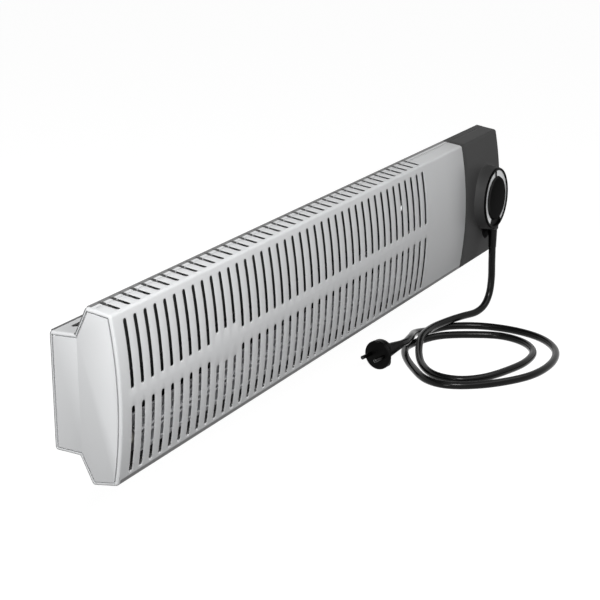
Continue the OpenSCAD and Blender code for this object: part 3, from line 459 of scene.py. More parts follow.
def start_material(name, tint, roughness, specular=0.5, ior=1.5, metallic=0.0):
    """A material with a principled shader, and the object's coordinates in metres."""
    material = bpy.data.materials.new(name)
    material.use_nodes = True
    tree = material.node_tree
    tree.nodes.clear()
    shader = add_node(tree, "ShaderNodeBsdfPrincipled", {
        "Base Color": (*tint, 1), "Roughness": roughness, "IOR": ior, "Metallic": metallic,
        "Specular IOR Level": specular})
    add_node(tree, "ShaderNodeOutputMaterial", {"Surface": shader.outputs["BSDF"]})
    place = add_node(tree, "ShaderNodeTexCoord").outputs["Object"]
    return material, tree, shader, place


def moulded(name, tint, roughness, specular=0.5, ior=1.5, grain=0.6, depth=0.02, cloud=15):
    """A plastic with the eroded grain of its mould, and faintly uneven in colour and gloss.

    The grain's size and depth and the size of the clouds are in millimetres."""
    material, tree, shader, place = start_material(name, tint, roughness, specular, ior)
    pattern = noise_of(tree, place, grain * MM, roughness=0.55)
    emboss(tree, shader, pattern, 0.35, depth * MM)
    darker, lighter = ((*(min(1, c * share) for c in tint), 1) for share in (0.97, 1.03))
    shade = add_node(tree, "ShaderNodeMix", {
        "Factor": noise_of(tree, place, cloud * MM, 1.0), "A": darker, "B": lighter},
        data_type="RGBA")
    tree.links.new(shade.outputs["Result"], shader.inputs["Base Color"])
    vary_gloss(tree, shader, pattern, roughness - 0.03, roughness + 0.04)
    return material, tree, shader, place


def satin_cover(name, finish):
    """Light grey ABS, moulded in a spark-eroded tool: a soft, even satin with a faint grain."""
    return moulded(name, finish.cover, 0.36, 0.15, 1.53, grain=0.5, cloud=60)


def cover_abs_with_painted_shade(finish, shade_below):
    """The covers' ABS, with painted shade: dark lines below a height and on the rim towards the
    wall.
    """
    material, tree, shader, place = satin_cover("light_grey_abs_satin_painted_shade", finish)
    shade_fade = 0.8 * MM
    # Painted shade: a darker grey along the lower edge, below a height, on faces that don't look
    # straight down
    low = mask(tree, parts_of(tree, place)["Z"], shade_below, shade_below - shade_fade)
    normal = parts_of(tree, face_normal(tree))
    not_under = mask(tree, normal["Z"], -0.85, -0.75)
    tint_where(tree, shader, math_of(tree, "MULTIPLY", low, not_under), srgb("#6E6E6E"))
    # Painted shade: a dark grey on the rim where it turns to the wall and to the left
    shaded_to_wall = mask(tree, normal["Y"], 0.2, 0.4)
    shaded_to_left = mask(tree, normal["X"], -0.25, -0.4)
    tint_where(tree, shader, math_of(tree, "MULTIPLY", shaded_to_wall, shaded_to_left), srgb("#3C3C3C"))
    return material


def casing_abs_with_painted_shade(finish):
    """The casing's ABS, with painted shade: dark on its inner side, slot walls and joint, and along
    its rear edges.
    """
    material, tree, shader, place = satin_cover("light_grey_abs_casing_painted_shade", finish)
    shaded_ridge_height, shaded_ridge_depth, shaded_wall_edge = 2 * MM, 44.8 * MM, 3.5 * MM
    middle = (0, (CASING_LOW.y + CASING_HIGH.y) / 2, 0)
    across = vector_of(tree, "MULTIPLY", vector_of(tree, "SUBTRACT", place, middle), (0, 1, 1))
    outwards = vector_of(tree, "NORMALIZE", across)
    facing = vector_of(tree, "DOT_PRODUCT", outwards, face_normal(tree))
    normal, spot = parts_of(tree, face_normal(tree)), parts_of(tree, place)
    # Painted shade: the inner side, the slot walls and the part under the cover's joint get a
    # darker grey
    inner = math_of(tree, "LESS_THAN", facing, -0.05)
    sideways = math_of(tree, "GREATER_THAN", math_of(tree, "ABSOLUTE", normal["X"]), 0.5)
    joint = math_of(tree, "LESS_THAN", spot["Y"], COVER_HIGH.y + 0.2 * MM)
    painted_inner_shade = math_of(tree, "MAXIMUM", math_of(tree, "MAXIMUM", inner, sideways), joint)
    tint_where(tree, shader, painted_inner_shade, finish.inside)
    # Painted shade: a dark band along the top rear ridge
    high = math_of(tree, "GREATER_THAN", math_of(tree, "ABSOLUTE", spot["Z"]),
                   CASING_HIGH.z - shaded_ridge_height)
    behind = math_of(tree, "GREATER_THAN", spot["Y"], -shaded_ridge_depth)
    tint_where(tree, shader, math_of(tree, "MULTIPLY", high, behind), srgb("#626262"))
    # Painted shade: a dark band along the edges at the wall, as a shadow gap
    shade_at_wall = math_of(tree, "GREATER_THAN", spot["Y"], -shaded_wall_edge)
    off_back = mask(tree, normal["Y"], 0.6, 0.5)
    tint_where(tree, shader, math_of(tree, "MULTIPLY", shade_at_wall, off_back), srgb("#3A3A3A"))
    return material


def head_abs_with_painted_shade(finish):
    """Anthracite glass-filled PBT: a coarser grain that scatters the lamp into a broad grey sheen.

    Painted shade makes it darker where it looks up, and in a line along its right end."""
    material, tree, shader, place = moulded("anthracite_pbt_grained_painted_shade", finish.head, 0.5, 0.06,
                                            grain=0.7, depth=0.03, cloud=40)
    # Painted shade: a darker grey where the surface looks up
    smooth = parts_of(tree, add_node(tree, "ShaderNodeTexCoord").outputs["Normal"])
    tint_where(tree, shader, mask(tree, smooth["Z"], 0.5, 0.9), srgb("#343434"))
    # Painted shade: a near-black line along the right end, on faces that don't look right
    shade_start, shade_full = HEAD_HIGH.x - 3.2 * MM, HEAD_HIGH.x - 2.2 * MM
    shade_near_end = mask(tree, parts_of(tree, place)["X"], shade_start, shade_full)
    off_end = mask(tree, parts_of(tree, face_normal(tree))["X"], 0.95, 0.9)
    tint_where(tree, shader, math_of(tree, "MULTIPLY", shade_near_end, off_end), srgb("#1C1C1C"))
    return material


def bezel_abs(finish):
    """Black ABS from a polished tool: nearly glossy, with sharp bright lines on its edges."""
    return moulded("black_abs_polished", finish.bezel, 0.3, 0.01, grain=1.2, depth=0.004,
                   cloud=30)[0]


def knob_abs(finish):
    """Black ABS with the tool's fine turning lines, which draw a soft radial sheen in the dish."""
    material, tree, shader, place = start_material("black_abs_turned_tool", finish.knob, 0.4, 0.0)
    x, z = knob_middle()
    spoke = vector_of(tree, "SUBTRACT", place, (x, 0, z))
    radius = vector_of(tree, "LENGTH", vector_of(tree, "MULTIPLY", spoke, (1, 0, 1)))
    # Turning lines are 0.1 mm apart and drawn at 0.6 mm, so that they show
    line_pitch = 0.6 * MM
    wave = math_of(tree, "SINE", math_of(tree, "MULTIPLY", radius, math.tau / line_pitch))
    emboss(tree, shader, wave, 0.15, 0.01 * MM)
    return material


def scale_foil(finish):
    """Aluminium foil, satin anodised and lacquered: a soft silver without lettering."""
    material, tree, shader, place = start_material("satin_aluminium_foil", finish.scale, 0.46,
                                                   metallic=0.85)
    brushed = streaks(tree, place, (0.2 * MM, 0.2 * MM, 6 * MM))
    vary_gloss(tree, shader, brushed, 0.42, 0.54)
    return material


def sheath_pvc(finish):
    """Black PVC, extruded: a smooth skin with a long soft highlight and slight waviness."""
    material, tree, shader, place = start_material("black_pvc_extruded", finish.lead, 0.18, 0.14)
    emboss(tree, shader, noise_of(tree, place, 9 * MM, 1.0), 0.12, 0.4 * MM)
    vary_gloss(tree, shader, noise_of(tree, place, 0.8 * MM), 0.14, 0.24)
    return material


def plug_pvc(finish):
    """Black PVC moulded over the plug's core: duller than the lead, with a fine grain."""
    return moulded("black_pvc_moulded", finish.lead, 0.42, 0.05, cloud=20)[0]


def pin_metal():
    """Darkened nickel on brass pins: a dim metal that shows only the lamp."""
    material, tree, shader, place = start_material("blackened_nickel_plate", srgb("#2E2E2E"), 0.28,
                                                   metallic=1.0)
    vary_gloss(tree, shader, noise_of(tree, place, 1.5 * MM), 0.22, 0.36)
    return material


def drawn_metal(name, code, roughness, streak, axis=0):
    """A metal with streaks along one axis, as rolling or extruding leaves them."""
    material, tree, shader, place = start_material(name, srgb(code), roughness, metallic=1.0)
    sizes = [streak] * 3
    sizes[axis] = 60 * streak
    pattern = streaks(tree, place, sizes, 3.0)
    vary_gloss(tree, shader, pattern, roughness - 0.08, roughness + 0.12)
    emboss(tree, shader, pattern, 0.3, 0.03 * MM)
    return material


def moulding(name, code, roughness, grain=0.6):
    """A plain moulded or glazed material of one colour with a fine grain."""
    return moulded(name, srgb(code), roughness, grain=grain)[0]


def give(material, *names):
    """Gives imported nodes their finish."""
    for name in names:
        NODES[name].data.materials.clear()
        NODES[name].data.materials.append(material)


# Pieces


def slot_rows(skin, sizes):
    """Rows across the upper half of the front cover: run, sunk, and what slot end they cut."""
    edge, radius = sizes.edge_round, sizes.slot_width / 2
    rows = []

    def plain(run, sunk=0.0):
        rows.append({"run": run, "sunk": sunk, "slot": None})

    def slotted(run, slot, end, sine, cosine):
        rows.append({"run": run, "sunk": 0.0, "slot": slot, "end": end, "sine": sine,
                     "cosine": cosine})

    slot_steps, land_steps, round_steps = 8, 4, 6
    joint_lap = 0.5 * MM
    plain(0.0)
    low = skin.run_at_height(sizes.band / 2) + radius
    high = skin.run_at_height(sizes.band / 2 + sizes.slot_height) - radius
    for sine, cosine in quarter_arc(4):
        slotted(low - radius * cosine, "front", low, sine, -cosine)
    for k in range(1, slot_steps):
        slotted(low + (high - low) * k / slot_steps, "front", None, 1, 0)
    for sine, cosine in reversed(quarter_arc(4)):
        slotted(high + radius * cosine, "front", high, sine, cosine)
    for k in range(1, land_steps):
        plain(high + radius + (skin.front_run - high - radius) * k / land_steps)
    for k in range(round_steps + 1):
        plain(skin.front_run + (skin.round_run - skin.front_run) * k / round_steps)
    tip = skin.run_at_depth(sizes.top_slot_depth) + radius
    joint = skin.run_at_depth(-COVER_HIGH.y + joint_lap)
    for sine, cosine in quarter_arc(4):
        slotted(tip - radius * cosine, "top", tip, sine, -cosine)
    slotted((tip + joint) / 2, "top", None, 1, 0)
    for share, sunk in ((1, 0), (BEVEL_SHARE, BEVEL_SHARE), (0, 1)):
        slotted(joint - share * edge, "top", None, 1, 0)
        rows[-1]["sunk"] = sunk * edge
    return rows, low, high


def front_cover_mesh(sizes):
    """The slotted front cover: a shell with rounded corners, and slots with rounded edges."""
    skin, maker = Skin(sizes), MeshMaker()
    upper, low, high = slot_rows(skin, sizes)
    lower = [{**row, "run": -row["run"]} for row in upper[:0:-1]]
    rows = lower + upper
    edge, wall, radius = sizes.edge_round, sizes.wall, sizes.slot_width / 2
    # Widening sideways, widening at the ends, and how deep
    bevel = BEVEL_SHARE * edge
    layers = [(edge, edge, 0.0), (bevel, bevel, bevel), (0.0, 0.0, edge),
              (0.0, 0.0, sizes.slot_land), (sizes.slot_flare, 0.0, wall)]

    def place(x, run, sunk):
        depth, height = skin.at(run, sunk)
        return Vector((x, depth, height))

    def line_at(x, sunk):
        """The line down the cover at one x, on its skin or sunk below it."""
        return lambda row: place(x, row["run"], max(sunk, row["sunk"]))

    def slot_line(middle, short, side, layer):
        """The line down the cover along one side of a slot."""
        return lambda row: on_slot(row, middle, short, side, layer)

    def band(left, right, kind=0):
        """Faces between two lines down the cover."""
        for a, b in zip(rows, rows[1:]):
            maker.face([left(a), right(a), right(b), left(b)], kind)

    def ends(lines):
        """A face across lines at the first row and at the last one."""
        for row in (rows[0], rows[-1]):
            maker.face([line(row) for line in lines])

    def on_slot(row, middle, short, side, layer):
        """The point of a slot's edge in a row, or of the column's middle line."""
        swell, end_swell, sunk = layers[layer]
        sunk = max(sunk, row["sunk"])
        if row["slot"] is None:
            return place(middle, row["run"], sunk if layer else row["sunk"])
        up = math.copysign(1, row["run"])
        if row["slot"] == "front":
            moved = low + short
            if row["end"] is None:
                run = moved + (abs(row["run"]) - low) * (high - moved) / (high - low)
            else:
                end = moved if row["end"] == low else high
                run = end + row["cosine"] * (radius + end_swell)
        elif row["end"] is None:
            run = abs(row["run"])
        else:
            run = row["end"] + row["cosine"] * (radius + end_swell)
        return place(middle + side * row["sine"] * (radius + swell), up * run, sunk)

    first = CAP_LOW.x + sizes.slot_start
    for column in range(sizes.slot_count):
        middle = first + column * sizes.slot_pitch
        is_short = 0 <= column + 1 - sizes.short_first < sizes.short_count
        short = sizes.short_by if is_short else 0.0
        for side in (-1, 1):
            rim_x = middle + side * sizes.slot_pitch / 2
            edges = [slot_line(middle, short, side, layer) for layer in range(len(layers))]
            band(line_at(rim_x, 0), edges[0])
            band(line_at(rim_x, wall), edges[-1], 1)
            for a, b in zip(rows, rows[1:]):
                if a["slot"] and a["slot"] == b["slot"] and a["run"] * b["run"] > 0:
                    for high_edge, low_edge in zip(edges, edges[1:]):
                        maker.face([high_edge(a), high_edge(b), low_edge(b), low_edge(a)])
            ends([line_at(rim_x, 0), *edges, line_at(rim_x, wall)])
    plain_right = first + (sizes.slot_count - 0.5) * sizes.slot_pitch
    right = COVER_HIGH.x
    strips = [
        [(first - sizes.slot_pitch / 2, 0), (COVER_LOW.x, 0)],
        [(plain_right, 0), ((plain_right + right) / 2, 0), (right - edge, 0),
         (right - bevel, bevel), (right, edge)],
    ]
    for strip in strips:
        outer = [line_at(x, sunk) for x, sunk in strip]
        inner = [line_at(x, wall) for x, _ in strip]
        for k in range(len(strip) - 1):
            band(outer[k], outer[k + 1])
            band(inner[k], inner[k + 1], 1)
            ends([outer[k], outer[k + 1], inner[k + 1], inner[k]])
        band(outer[-1], inner[-1])
    return maker


def body_outline(sizes):
    """The housing's outline in depth and height, counterclockwise, its front curve in steps."""
    half, top = sizes.plinth_height / 2, sizes.body_height / 2
    notch = Vector((-sizes.plinth_depth, half + sizes.ledge_rise))
    skin = Skin(sizes)
    fall = math.asin(sizes.front_height / 2 / skin.radius)
    steps = 16
    front = []
    for i in range(steps + 1):
        angle = fall * (1 - 2 * i / steps)
        front.append(skin.centre + skin.radius * Vector((-math.cos(angle), math.sin(angle))))
    back = [Vector((0, -half)), Vector((0, half)), notch, Vector((-sizes.corner_depth, top))]
    below = [Vector((-sizes.corner_depth, -top)), Vector((notch.x, -notch.y))]
    return back + front + below


def end_cap_mesh(sizes):
    """The end cap: a rim rounded over, a groove, the flat end plate, and the skirt behind."""
    outline = body_outline(sizes)
    left, joint, skirt_end = CAP_LOW.x, COVER_LOW.x, CAP_HIGH.x
    bend, groove, wall = sizes.cap_round, sizes.cap_groove, sizes.wall
    skirt, rib, least_corner = wall + 0.2 * MM, 1.5 * MM, 0.7 * MM
    profile = [(joint, skirt + rib), (skirt_end, skirt + rib), (skirt_end, skirt), (joint, skirt),
               (joint, 0)]
    profile += [(left + bend * (1 - sine), bend * (1 - cosine)) for sine, cosine in quarter_arc(6)]
    groove_start, groove_floor = bend + 0.25 * MM, left + 2.2 * MM
    inner = groove_start + groove
    profile += [(left + 0.05 * MM, bend + 0.15 * MM), (left + 0.3 * MM, groove_start),
                (groove_floor, groove_start), (groove_floor, inner), (left + 0.4 * MM, inner),
                (left + 0.15 * MM, inner + 0.1 * MM), (left + 0.05 * MM, inner + 0.3 * MM)]
    maker = MeshMaker()
    rings = []
    for x, inset in profile:
        corner = max(sizes.corner_round - inset, least_corner)
        line = rounded_outline(line_offset(outline, inset), corner)
        rings.append([Vector((x, p.x, p.y)) for p in line])
    maker.rings(rings)
    return maker


def smooth_step(value, low, high):
    """Rises smoothly from 0 at low to 1 at high."""
    share = min(max((value - low) / (high - low), 0.0), 1.0)
    return share * share * (3 - 2 * share)


class HeadSkin:
    """The head's outer or inner skin: its front with the boss, the cord hood and the scoop."""

    def __init__(self, housing, head, wall):
        self.skin, self.head, self.wall = Skin(housing), head, wall
        self.middle = knob_middle()
        self.cord_x = (RELIEF_LOW.x + RELIEF_HIGH.x) / 2
        # Slanting faces are moved in by less than the wall
        self.slant_wall = 0.8 * wall
        self.rim = head.boss_radius - self.slant_wall
        self.foot = head.boss_foot - wall
        # How far from the dial's centre the underside may be
        self.brink = 60 * MM

    def cut(self, x):
        """How far below the dial's centre the underside is: level at the hood, rising beside it."""
        aside = max(abs(x - self.cord_x) - self.head.hood_level / 2, 0)
        return self.head.hood_drop - self.slant_wall - self.head.hood_rise * aside

    def lift(self, x, height):
        """How far the boss and the hood stand out of the front."""
        head = self.head
        base = -self.skin.at(self.skin.run_at_height(abs(height))).x - self.wall
        far = math.hypot(x - self.middle[0], height - self.middle[1])
        share = min(max((far - self.rim) / (self.foot - self.rim), 0.0), 1.0)
        boss = (1 - share) ** 2 * (head.boss_depth - self.wall - base)
        slope = (head.hood_depth - head.hood_foot_depth) * 2 / (head.hood_foot - head.hood_front)
        side = x - self.cord_x
        # Steeper on the right, where the dial's ring ends before the hood does
        steeper = 1.6 if side > 0 else 1
        aside = abs(side) * steeper + self.slant_wall - head.hood_front / 2
        hood = head.hood_depth - self.wall - base - slope * max(aside, 0)
        # The hood comes out of the front over this height, from well below the skin
        hood_from, hood_full, sunk = 24 * MM, 34 * MM, 5 * MM
        low = smooth_step(-height, hood_from, hood_full)
        hood = hood * low - sunk * (1 - low)
        blend = 1.5 * MM
        near = max(blend - abs(boss - hood), 0) / blend
        lift = max(boss, hood) + near**2 * blend / 4
        # The lip runs along the underside, and ends just right of the cord
        cut, lip_width = self.cut(x), 1.2 * MM
        lip = smooth_step(-height, cut - 2 * lip_width, cut - lip_width)
        lip *= smooth_step(-side, -2.5 * MM, 0.5 * MM)
        return lift + head.hood_lip * lip * smooth_step(lift, 0.5 * MM, 2 * MM)

    def scoop(self, x, height):
        """How far the scoop below the hood goes in: a dish that narrows downwards."""
        head = self.head
        to_right, power = 3 * MM, 1.5
        across = abs(x - self.cord_x - to_right) * 2 / head.scoop_width
        down = abs(height + head.scoop_drop - head.scoop_height) / head.scoop_height
        inside = head.scoop_height * (1 - (across**power + down**power) ** (1 / power))
        return head.scoop_depth * smooth_step(inside, -0.3 * MM - self.wall, 2.4 * MM)

    def at(self, x, run, sunk=0.0, above=None):
        """A point of the skin; above is false under the hood's flat underside."""
        place = self.skin.at(run, self.wall + sunk)
        if abs(run) < self.skin.front_run:
            if above is None:
                above = place.y > -self.cut(x)
            place.x += -self.lift(x, place.y) if above else self.scoop(x, place.y)
        return Vector((x, place.x, place.y))

    def cut_along(self, way):
        """How far from the dial's centre a way meets the underside, up to the brink."""
        near, far = 0.0, self.brink
        if way.y >= 0 or self.middle[1] + far * way.y > -self.cut(self.middle[0] + far * way.x):
            return math.inf
        for _ in range(40):
            half = (near + far) / 2
            if self.middle[1] + half * way.y > -self.cut(self.middle[0] + half * way.x):
                near = half
            else:
                far = half
        return far

    def block(self, maker, columns, rows):
        """Faces over columns of x and rows of runs, each with how far it is sunk."""
        for (xa, sa), (xb, sb) in zip(columns, columns[1:]):
            for (ra, ta), (rb, tb) in zip(rows, rows[1:]):
                maker.face([self.at(xa, ra, max(sa, ta)), self.at(xb, ra, max(sb, ta)),
                            self.at(xb, rb, max(sb, tb)), self.at(xa, rb, max(sa, tb))])

    def rays(self, angles, window):
        """Lines of points from the dial's hole to the edge of a window, and where they end."""
        left, right, low, high = window
        lines, ends = [], []
        boss_shares = [0, 0.04, 0.1, 0.18, 0.27, 0.37, 0.48, 0.6, 0.71, 0.81, 0.9, 1]
        before_rim, last_knee, foot_steps, field_steps = 0.3 * MM, 0.96, 4, 16
        for angle in angles:
            way = Vector((math.sin(angle), math.cos(angle)))
            reach = min(((right if way.x > 0 else left) - self.middle[0]) / way.x
                        if abs(way.x) > 1e-9 else math.inf,
                        ((high if way.y > 0 else low) - self.middle[1]) / way.y
                        if abs(way.y) > 1e-9 else math.inf)
            cut = self.cut_along(way)
            is_cut = cut < min(self.brink, reach)
            knee = min(cut, self.foot, last_knee * reach)
            turn = cut if is_cut else (knee + reach) / 2
            stations = [(self.head.seat_radius, True), (self.rim - before_rim, True)]
            stations += [(self.rim + (knee - self.rim) * share, True) for share in boss_shares]
            stations += [(knee + (turn - knee) * k / foot_steps, True)
                         for k in range(1, foot_steps + 1)]
            stations += [(turn + (reach - turn) * k / field_steps, not is_cut)
                         for k in range(0 if is_cut else 1, field_steps + 1)]
            line = []
            for far, above in stations:
                x, height = self.middle[0] + far * way.x, self.middle[1] + far * way.y
                line.append(self.at(x, self.skin.run_at_height(height), 0.0, above))
            lines.append(line)
            ends.append((self.middle[0] + reach * way.x, self.middle[1] + reach * way.y))
        return lines, ends


def head_mesh(housing, head):
    """The head's front shell, from the joint with the rear shell round to its right end."""
    outer, inner = HeadSkin(housing, head, 0.0), HeadSkin(housing, head, housing.wall)
    maker, skin = MeshMaker(), outer.skin
    seam, right, edge, bend = HEAD_LOW.x, HEAD_HIGH.x, housing.edge_round, head.end_round
    middle = outer.middle
    # The part of the front that the rays from the dial cover
    seam_strip, end_strip, reach = 13 * MM, 0.5 * MM, 60 * MM
    window = (seam + seam_strip, right - housing.wall - end_strip, -reach, reach)
    corners = [math.atan2(x - middle[0], z - middle[1]) % math.tau
               for x in window[:2] for z in window[2:]]
    # Every 3 degrees, and closer round the hood; none so near a corner that it makes a sliver
    least_gap = 0.006
    angles = [math.radians(a) for a in range(0, 360, 3) if abs(a - 180) > 60]
    angles += [math.radians(180 + 1.25 * k) for k in range(-48, 49)]
    angles = [a for a in angles if min(abs(a - c) for c in corners) > least_gap]
    angles = sorted(angles + corners)
    holes = []
    for form in (outer, inner):
        lines, ends = form.rays(angles, window)
        for k, line in enumerate(lines):
            other = lines[(k + 1) % len(lines)]
            pairs = min(len(line), len(other))
            if len(line) == len(other):
                for a, b, c, d in zip(line, line[1:], other[1:], other):
                    maker.face([a, b, c, d])
            else:
                # The longer line has the hood's underside as one more step, after this point
                longer, shorter = (line, other) if len(line) > len(other) else (other, line)
                brink = 17
                maker.face([longer[brink], longer[brink + 1], shorter[brink]])
                for j in range(pairs - 1):
                    i = j if j < brink else j + 1
                    maker.face([longer[i], longer[i + 1], shorter[j + 1], shorter[j]])
        holes.append([line[0] for line in lines])
    for k in range(len(angles)):
        maker.face([holes[0][k - 1], holes[0][k], holes[1][k], holes[1][k - 1]])

    def hits(axis, value):
        return sorted({round(end[1 - axis], 9) for end in ends if abs(end[axis] - value) < 1e-9})

    heights = [hits(0, window[0]), hits(0, window[1])]
    across = [hits(1, window[2]), hits(1, window[3])]
    joint = skin.run_at_depth(-HEAD_HIGH.y)
    start = skin.run_at_height(window[3])
    top = [start]
    for place, steps in ((skin.front_run, 6), (skin.round_run, 6), (joint - edge, 5)):
        before = top[-1]
        top += [before + (place - before) * k / steps for k in range(1, steps + 1)]
    bevel = BEVEL_SHARE * edge
    top_rows = [(run, 0.0) for run in top] + [(joint - bevel, bevel), (joint, edge)]
    shells = []
    for form in (outer, inner):
        if form is outer:
            left_columns = [(seam, edge), (seam + bevel, bevel), (seam + edge, 0.0),
                            (window[0], 0.0)]
            right_columns = [(window[1], 0.0)] + [
                (right - bend * (1 - sine), bend * (1 - cosine)) for sine, cosine in quarter_arc(6)]
            rows = top_rows
        else:
            left_columns = [(seam, 0.0), (window[0], 0.0)]
            right_columns = [(window[1], 0.0), (right - housing.wall, 0.0)]
            rows = [(run, 0.0) for run, sunk in top_rows]
        low_rows = [(-run, sunk) for run, sunk in reversed(rows)]
        sides = [[(skin.run_at_height(h), 0.0) for h in side] for side in heights]
        form.block(maker, left_columns, sides[0])
        form.block(maker, right_columns, sides[1])
        columns = [left_columns + [(x, 0.0) for x in line[1:-1]] + right_columns
                   for line in across]
        form.block(maker, columns[0], low_rows)
        form.block(maker, columns[1], rows)
        ring = [low_rows + side[1:-1] + rows for side in sides]
        shells.append((form, columns, ring))
    rims = []
    for form, columns, ring in shells:
        seam_line = [form.at(columns[0][0][0], run, max(columns[0][0][1], sunk))
                     for run, sunk in ring[0]]
        end_line = [form.at(columns[0][-1][0], run, max(columns[0][-1][1], sunk))
                    for run, sunk in ring[1]]
        joint_lines = [[form.at(x, row[0], max(sunk, row[1])) for x, sunk in line]
                       for line, row in zip(columns, (ring[0][0], ring[0][-1]))]
        maker.face(end_line)
        rims.append((seam_line, end_line, joint_lines))
    (seam_out, end_out, joints_out), (seam_in, end_in, joints_in) = rims
    maker.face(seam_out + seam_in[::-1])
    maker.face([end_out[0], end_out[-1], end_in[-1], end_in[0]])
    for line_out, line_in in zip(joints_out, joints_in):
        maker.face(line_out + line_in[::-1])
    return maker


def knob_middle():
    """The dial's axis in X and Z."""
    return ((KNOB_LOW.x + KNOB_HIGH.x) / 2, (KNOB_LOW.z + KNOB_HIGH.z) / 2)


def bezel_mesh(sizes, seat):
    """The black ring: a lip rounded over, a wall down to the floor, and the collar behind."""
    outer = (BEZEL_HIGH.x - BEZEL_LOW.x) / 2
    front, back, collar = -BEZEL_LOW.y, sizes.back_depth, -BEZEL_HIGH.y
    seat_radius, seat_depth = seat
    lip_in = outer - sizes.lip
    bend, inner_bend = 0.9 * MM, 0.5 * MM
    collar_in, collar_out = 30.4 * MM, 32 * MM
    profile = [(sizes.scale_inner, back), (collar_in, back), (collar_in, collar),
               (collar_out, collar), (collar_out, back), (seat_radius, back),
               (seat_radius, seat_depth), (outer, seat_depth)]
    profile += [(outer - bend * (1 - cosine), front - bend * (1 - sine))
                for sine, cosine in quarter_arc(5)]
    profile += [(lip_in + inner_bend * (1 - sine), front - inner_bend * (1 - cosine))
                for sine, cosine in quarter_arc(3)]
    profile += [(lip_in, sizes.floor_depth), (sizes.scale_inner, sizes.floor_depth),
                (sizes.scale_inner, back)]
    maker = MeshMaker()
    maker.rings(turned_rings(profile, knob_middle()), caps=(False, False))
    return maker


def scale_mesh(sizes):
    """The silver scale: an open ring, a little dished, with its edge rounded."""
    outer = (BEZEL_HIGH.x - BEZEL_LOW.x) / 2 - sizes.lip - 0.1 * MM
    inner, base = sizes.scale_inner, sizes.floor_depth
    thick, bevel, dish = 1 * MM, 0.15 * MM, 0.2 * MM
    profile = [(inner, base), (outer, base), (outer, base + thick - bevel),
               (outer - bevel, base + thick), ((outer + inner) / 2, base + thick - dish),
               (inner + bevel, base + thick), (inner, base + thick - bevel), (inner, base)]
    sweep = sizes.scale_sweep
    rings = turned_rings(profile, knob_middle(), steps=120, start=-sweep / 2, sweep=sweep)
    maker = MeshMaker()
    maker.rings(rings, close=False, caps=(False, False))
    for end in (0, -1):
        maker.face([ring[end] for ring in rings[:-1]])
    return maker


def knob_mesh(sizes):
    """The knob: a dished face inside a rounded edge, a skirt wall and the hub behind."""
    outer = (KNOB_HIGH.x - KNOB_LOW.x) / 2
    front, hub_end = -KNOB_LOW.y, -KNOB_HIGH.y
    back, hub, wall, floor = 80 * MM, 6 * MM, 2.4 * MM, 84 * MM
    bend, dish_r = sizes.knob_edge / 2, outer - sizes.knob_edge
    profile = [(0.0, hub_end), (hub, hub_end), (hub, floor), (outer - wall, floor),
               (outer - wall, back), (outer, back)]
    profile += [(outer - bend * (1 - cosine), front - bend * (1 - sine))
                for sine, cosine in quarter_arc(5)]
    steps = 14
    for k in range(steps + 1):
        share = k / steps
        profile.append((dish_r * (1 - share), front - sizes.dish * (1 - (1 - share) ** 2)))
    maker = MeshMaker()
    maker.rings(turned_rings(profile, knob_middle()), caps=(False, False))
    return maker


# The lead's route, in metres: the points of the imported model's lead
PLUG_TURN = math.radians(171)
PLUG_WAY = Vector((math.cos(PLUG_TURN), math.sin(PLUG_TURN), 0))
PLUG_FACE = Vector((0.1525, -0.0385, -0.1468))
PLUG_LENGTH = 52 * MM
NECK_END = PLUG_FACE - PLUG_LENGTH * PLUG_WAY
LAY = -0.1603
HUMP = -0.1503
LEAD_ROUTE = [
    (0.4135, -0.0823, -0.069), (0.4135, -0.0823, -0.09), (0.4135, -0.0823, -0.112),
    (0.4088, -0.0816, -0.132), (0.396, -0.0798, -0.145), (0.378, -0.0753, HUMP),
    (0.354, -0.0659, HUMP), (0.3283, -0.0574, HUMP), (0.2926, -0.0503, HUMP),
    (0.256, -0.0522, -0.1509), (0.2203, -0.0641, -0.1562), (0.1868, -0.0823, -0.1598),
    (0.161, -0.105, LAY), (0.1508, -0.1275, LAY), (0.1543, -0.151, LAY), (0.1742, -0.1715, LAY),
    (0.2076, -0.1859, LAY), (0.2468, -0.1949, LAY), (0.2863, -0.1904, LAY), (0.3162, -0.1671, LAY),
    (0.3283, -0.132, LAY), (0.3168, -0.0953, LAY), (0.2952, -0.0625, LAY), (0.2661, -0.0472, LAY),
    (0.234, -0.0413, LAY), (0.202, -0.0543, LAY), (0.1647, -0.0819, LAY), (0.1349, -0.1127, LAY),
    (0.1299, -0.146, LAY), (0.155, -0.185, LAY), (0.2017, -0.2169, LAY), (0.2543, -0.225, LAY),
    (0.3039, -0.2134, LAY), (0.3402, -0.1831, LAY), (0.3568, -0.1419, LAY), (0.3558, -0.0961, LAY),
    (0.3368, -0.0581, LAY), (0.3051, -0.0406, -0.1594), (0.272, -0.0355, -0.1536),
    (0.24, -0.044, -0.1482), tuple(NECK_END - 12 * MM * PLUG_WAY),
]


def smooth_route(points, steps):
    """Points on the smooth curve through a route."""
    route = [Vector(p) for p in points]
    ends = [2 * route[0] - route[1]], [2 * route[-1] - route[-2]]
    padded = ends[0] + route + ends[1]
    line = []
    for p0, p1, p2, p3 in zip(padded, padded[1:], padded[2:], padded[3:]):
        for k in range(steps):
            t = k / steps
            line.append((2 * p1 + (p2 - p0) * t + (2 * p0 - 5 * p1 + 4 * p2 - p3) * t**2
                         + (3 * p1 - p0 - 3 * p2 + p3) * t**3) / 2)
    return line + [route[-1]]


def lead_curve(sizes):
    """The lead as one round curve along its whole route."""
    line = smooth_route(LEAD_ROUTE, 10) + [NECK_END]
    curve = bpy.data.curves.new("mains_lead", "CURVE")
    curve.dimensions = "3D"
    curve.bevel_depth = sizes.diameter / 2
    curve.bevel_resolution = 6
    curve.use_fill_caps = True
    spline = curve.splines.new("POLY")
    spline.points.add(len(line) - 1)
    for point, place in zip(spline.points, line):
        point.co = (*place, 1)
    spline.use_smooth = True
    made = bpy.data.objects.new("mains_lead", curve)
    bpy.context.collection.objects.link(made)
    return made, line


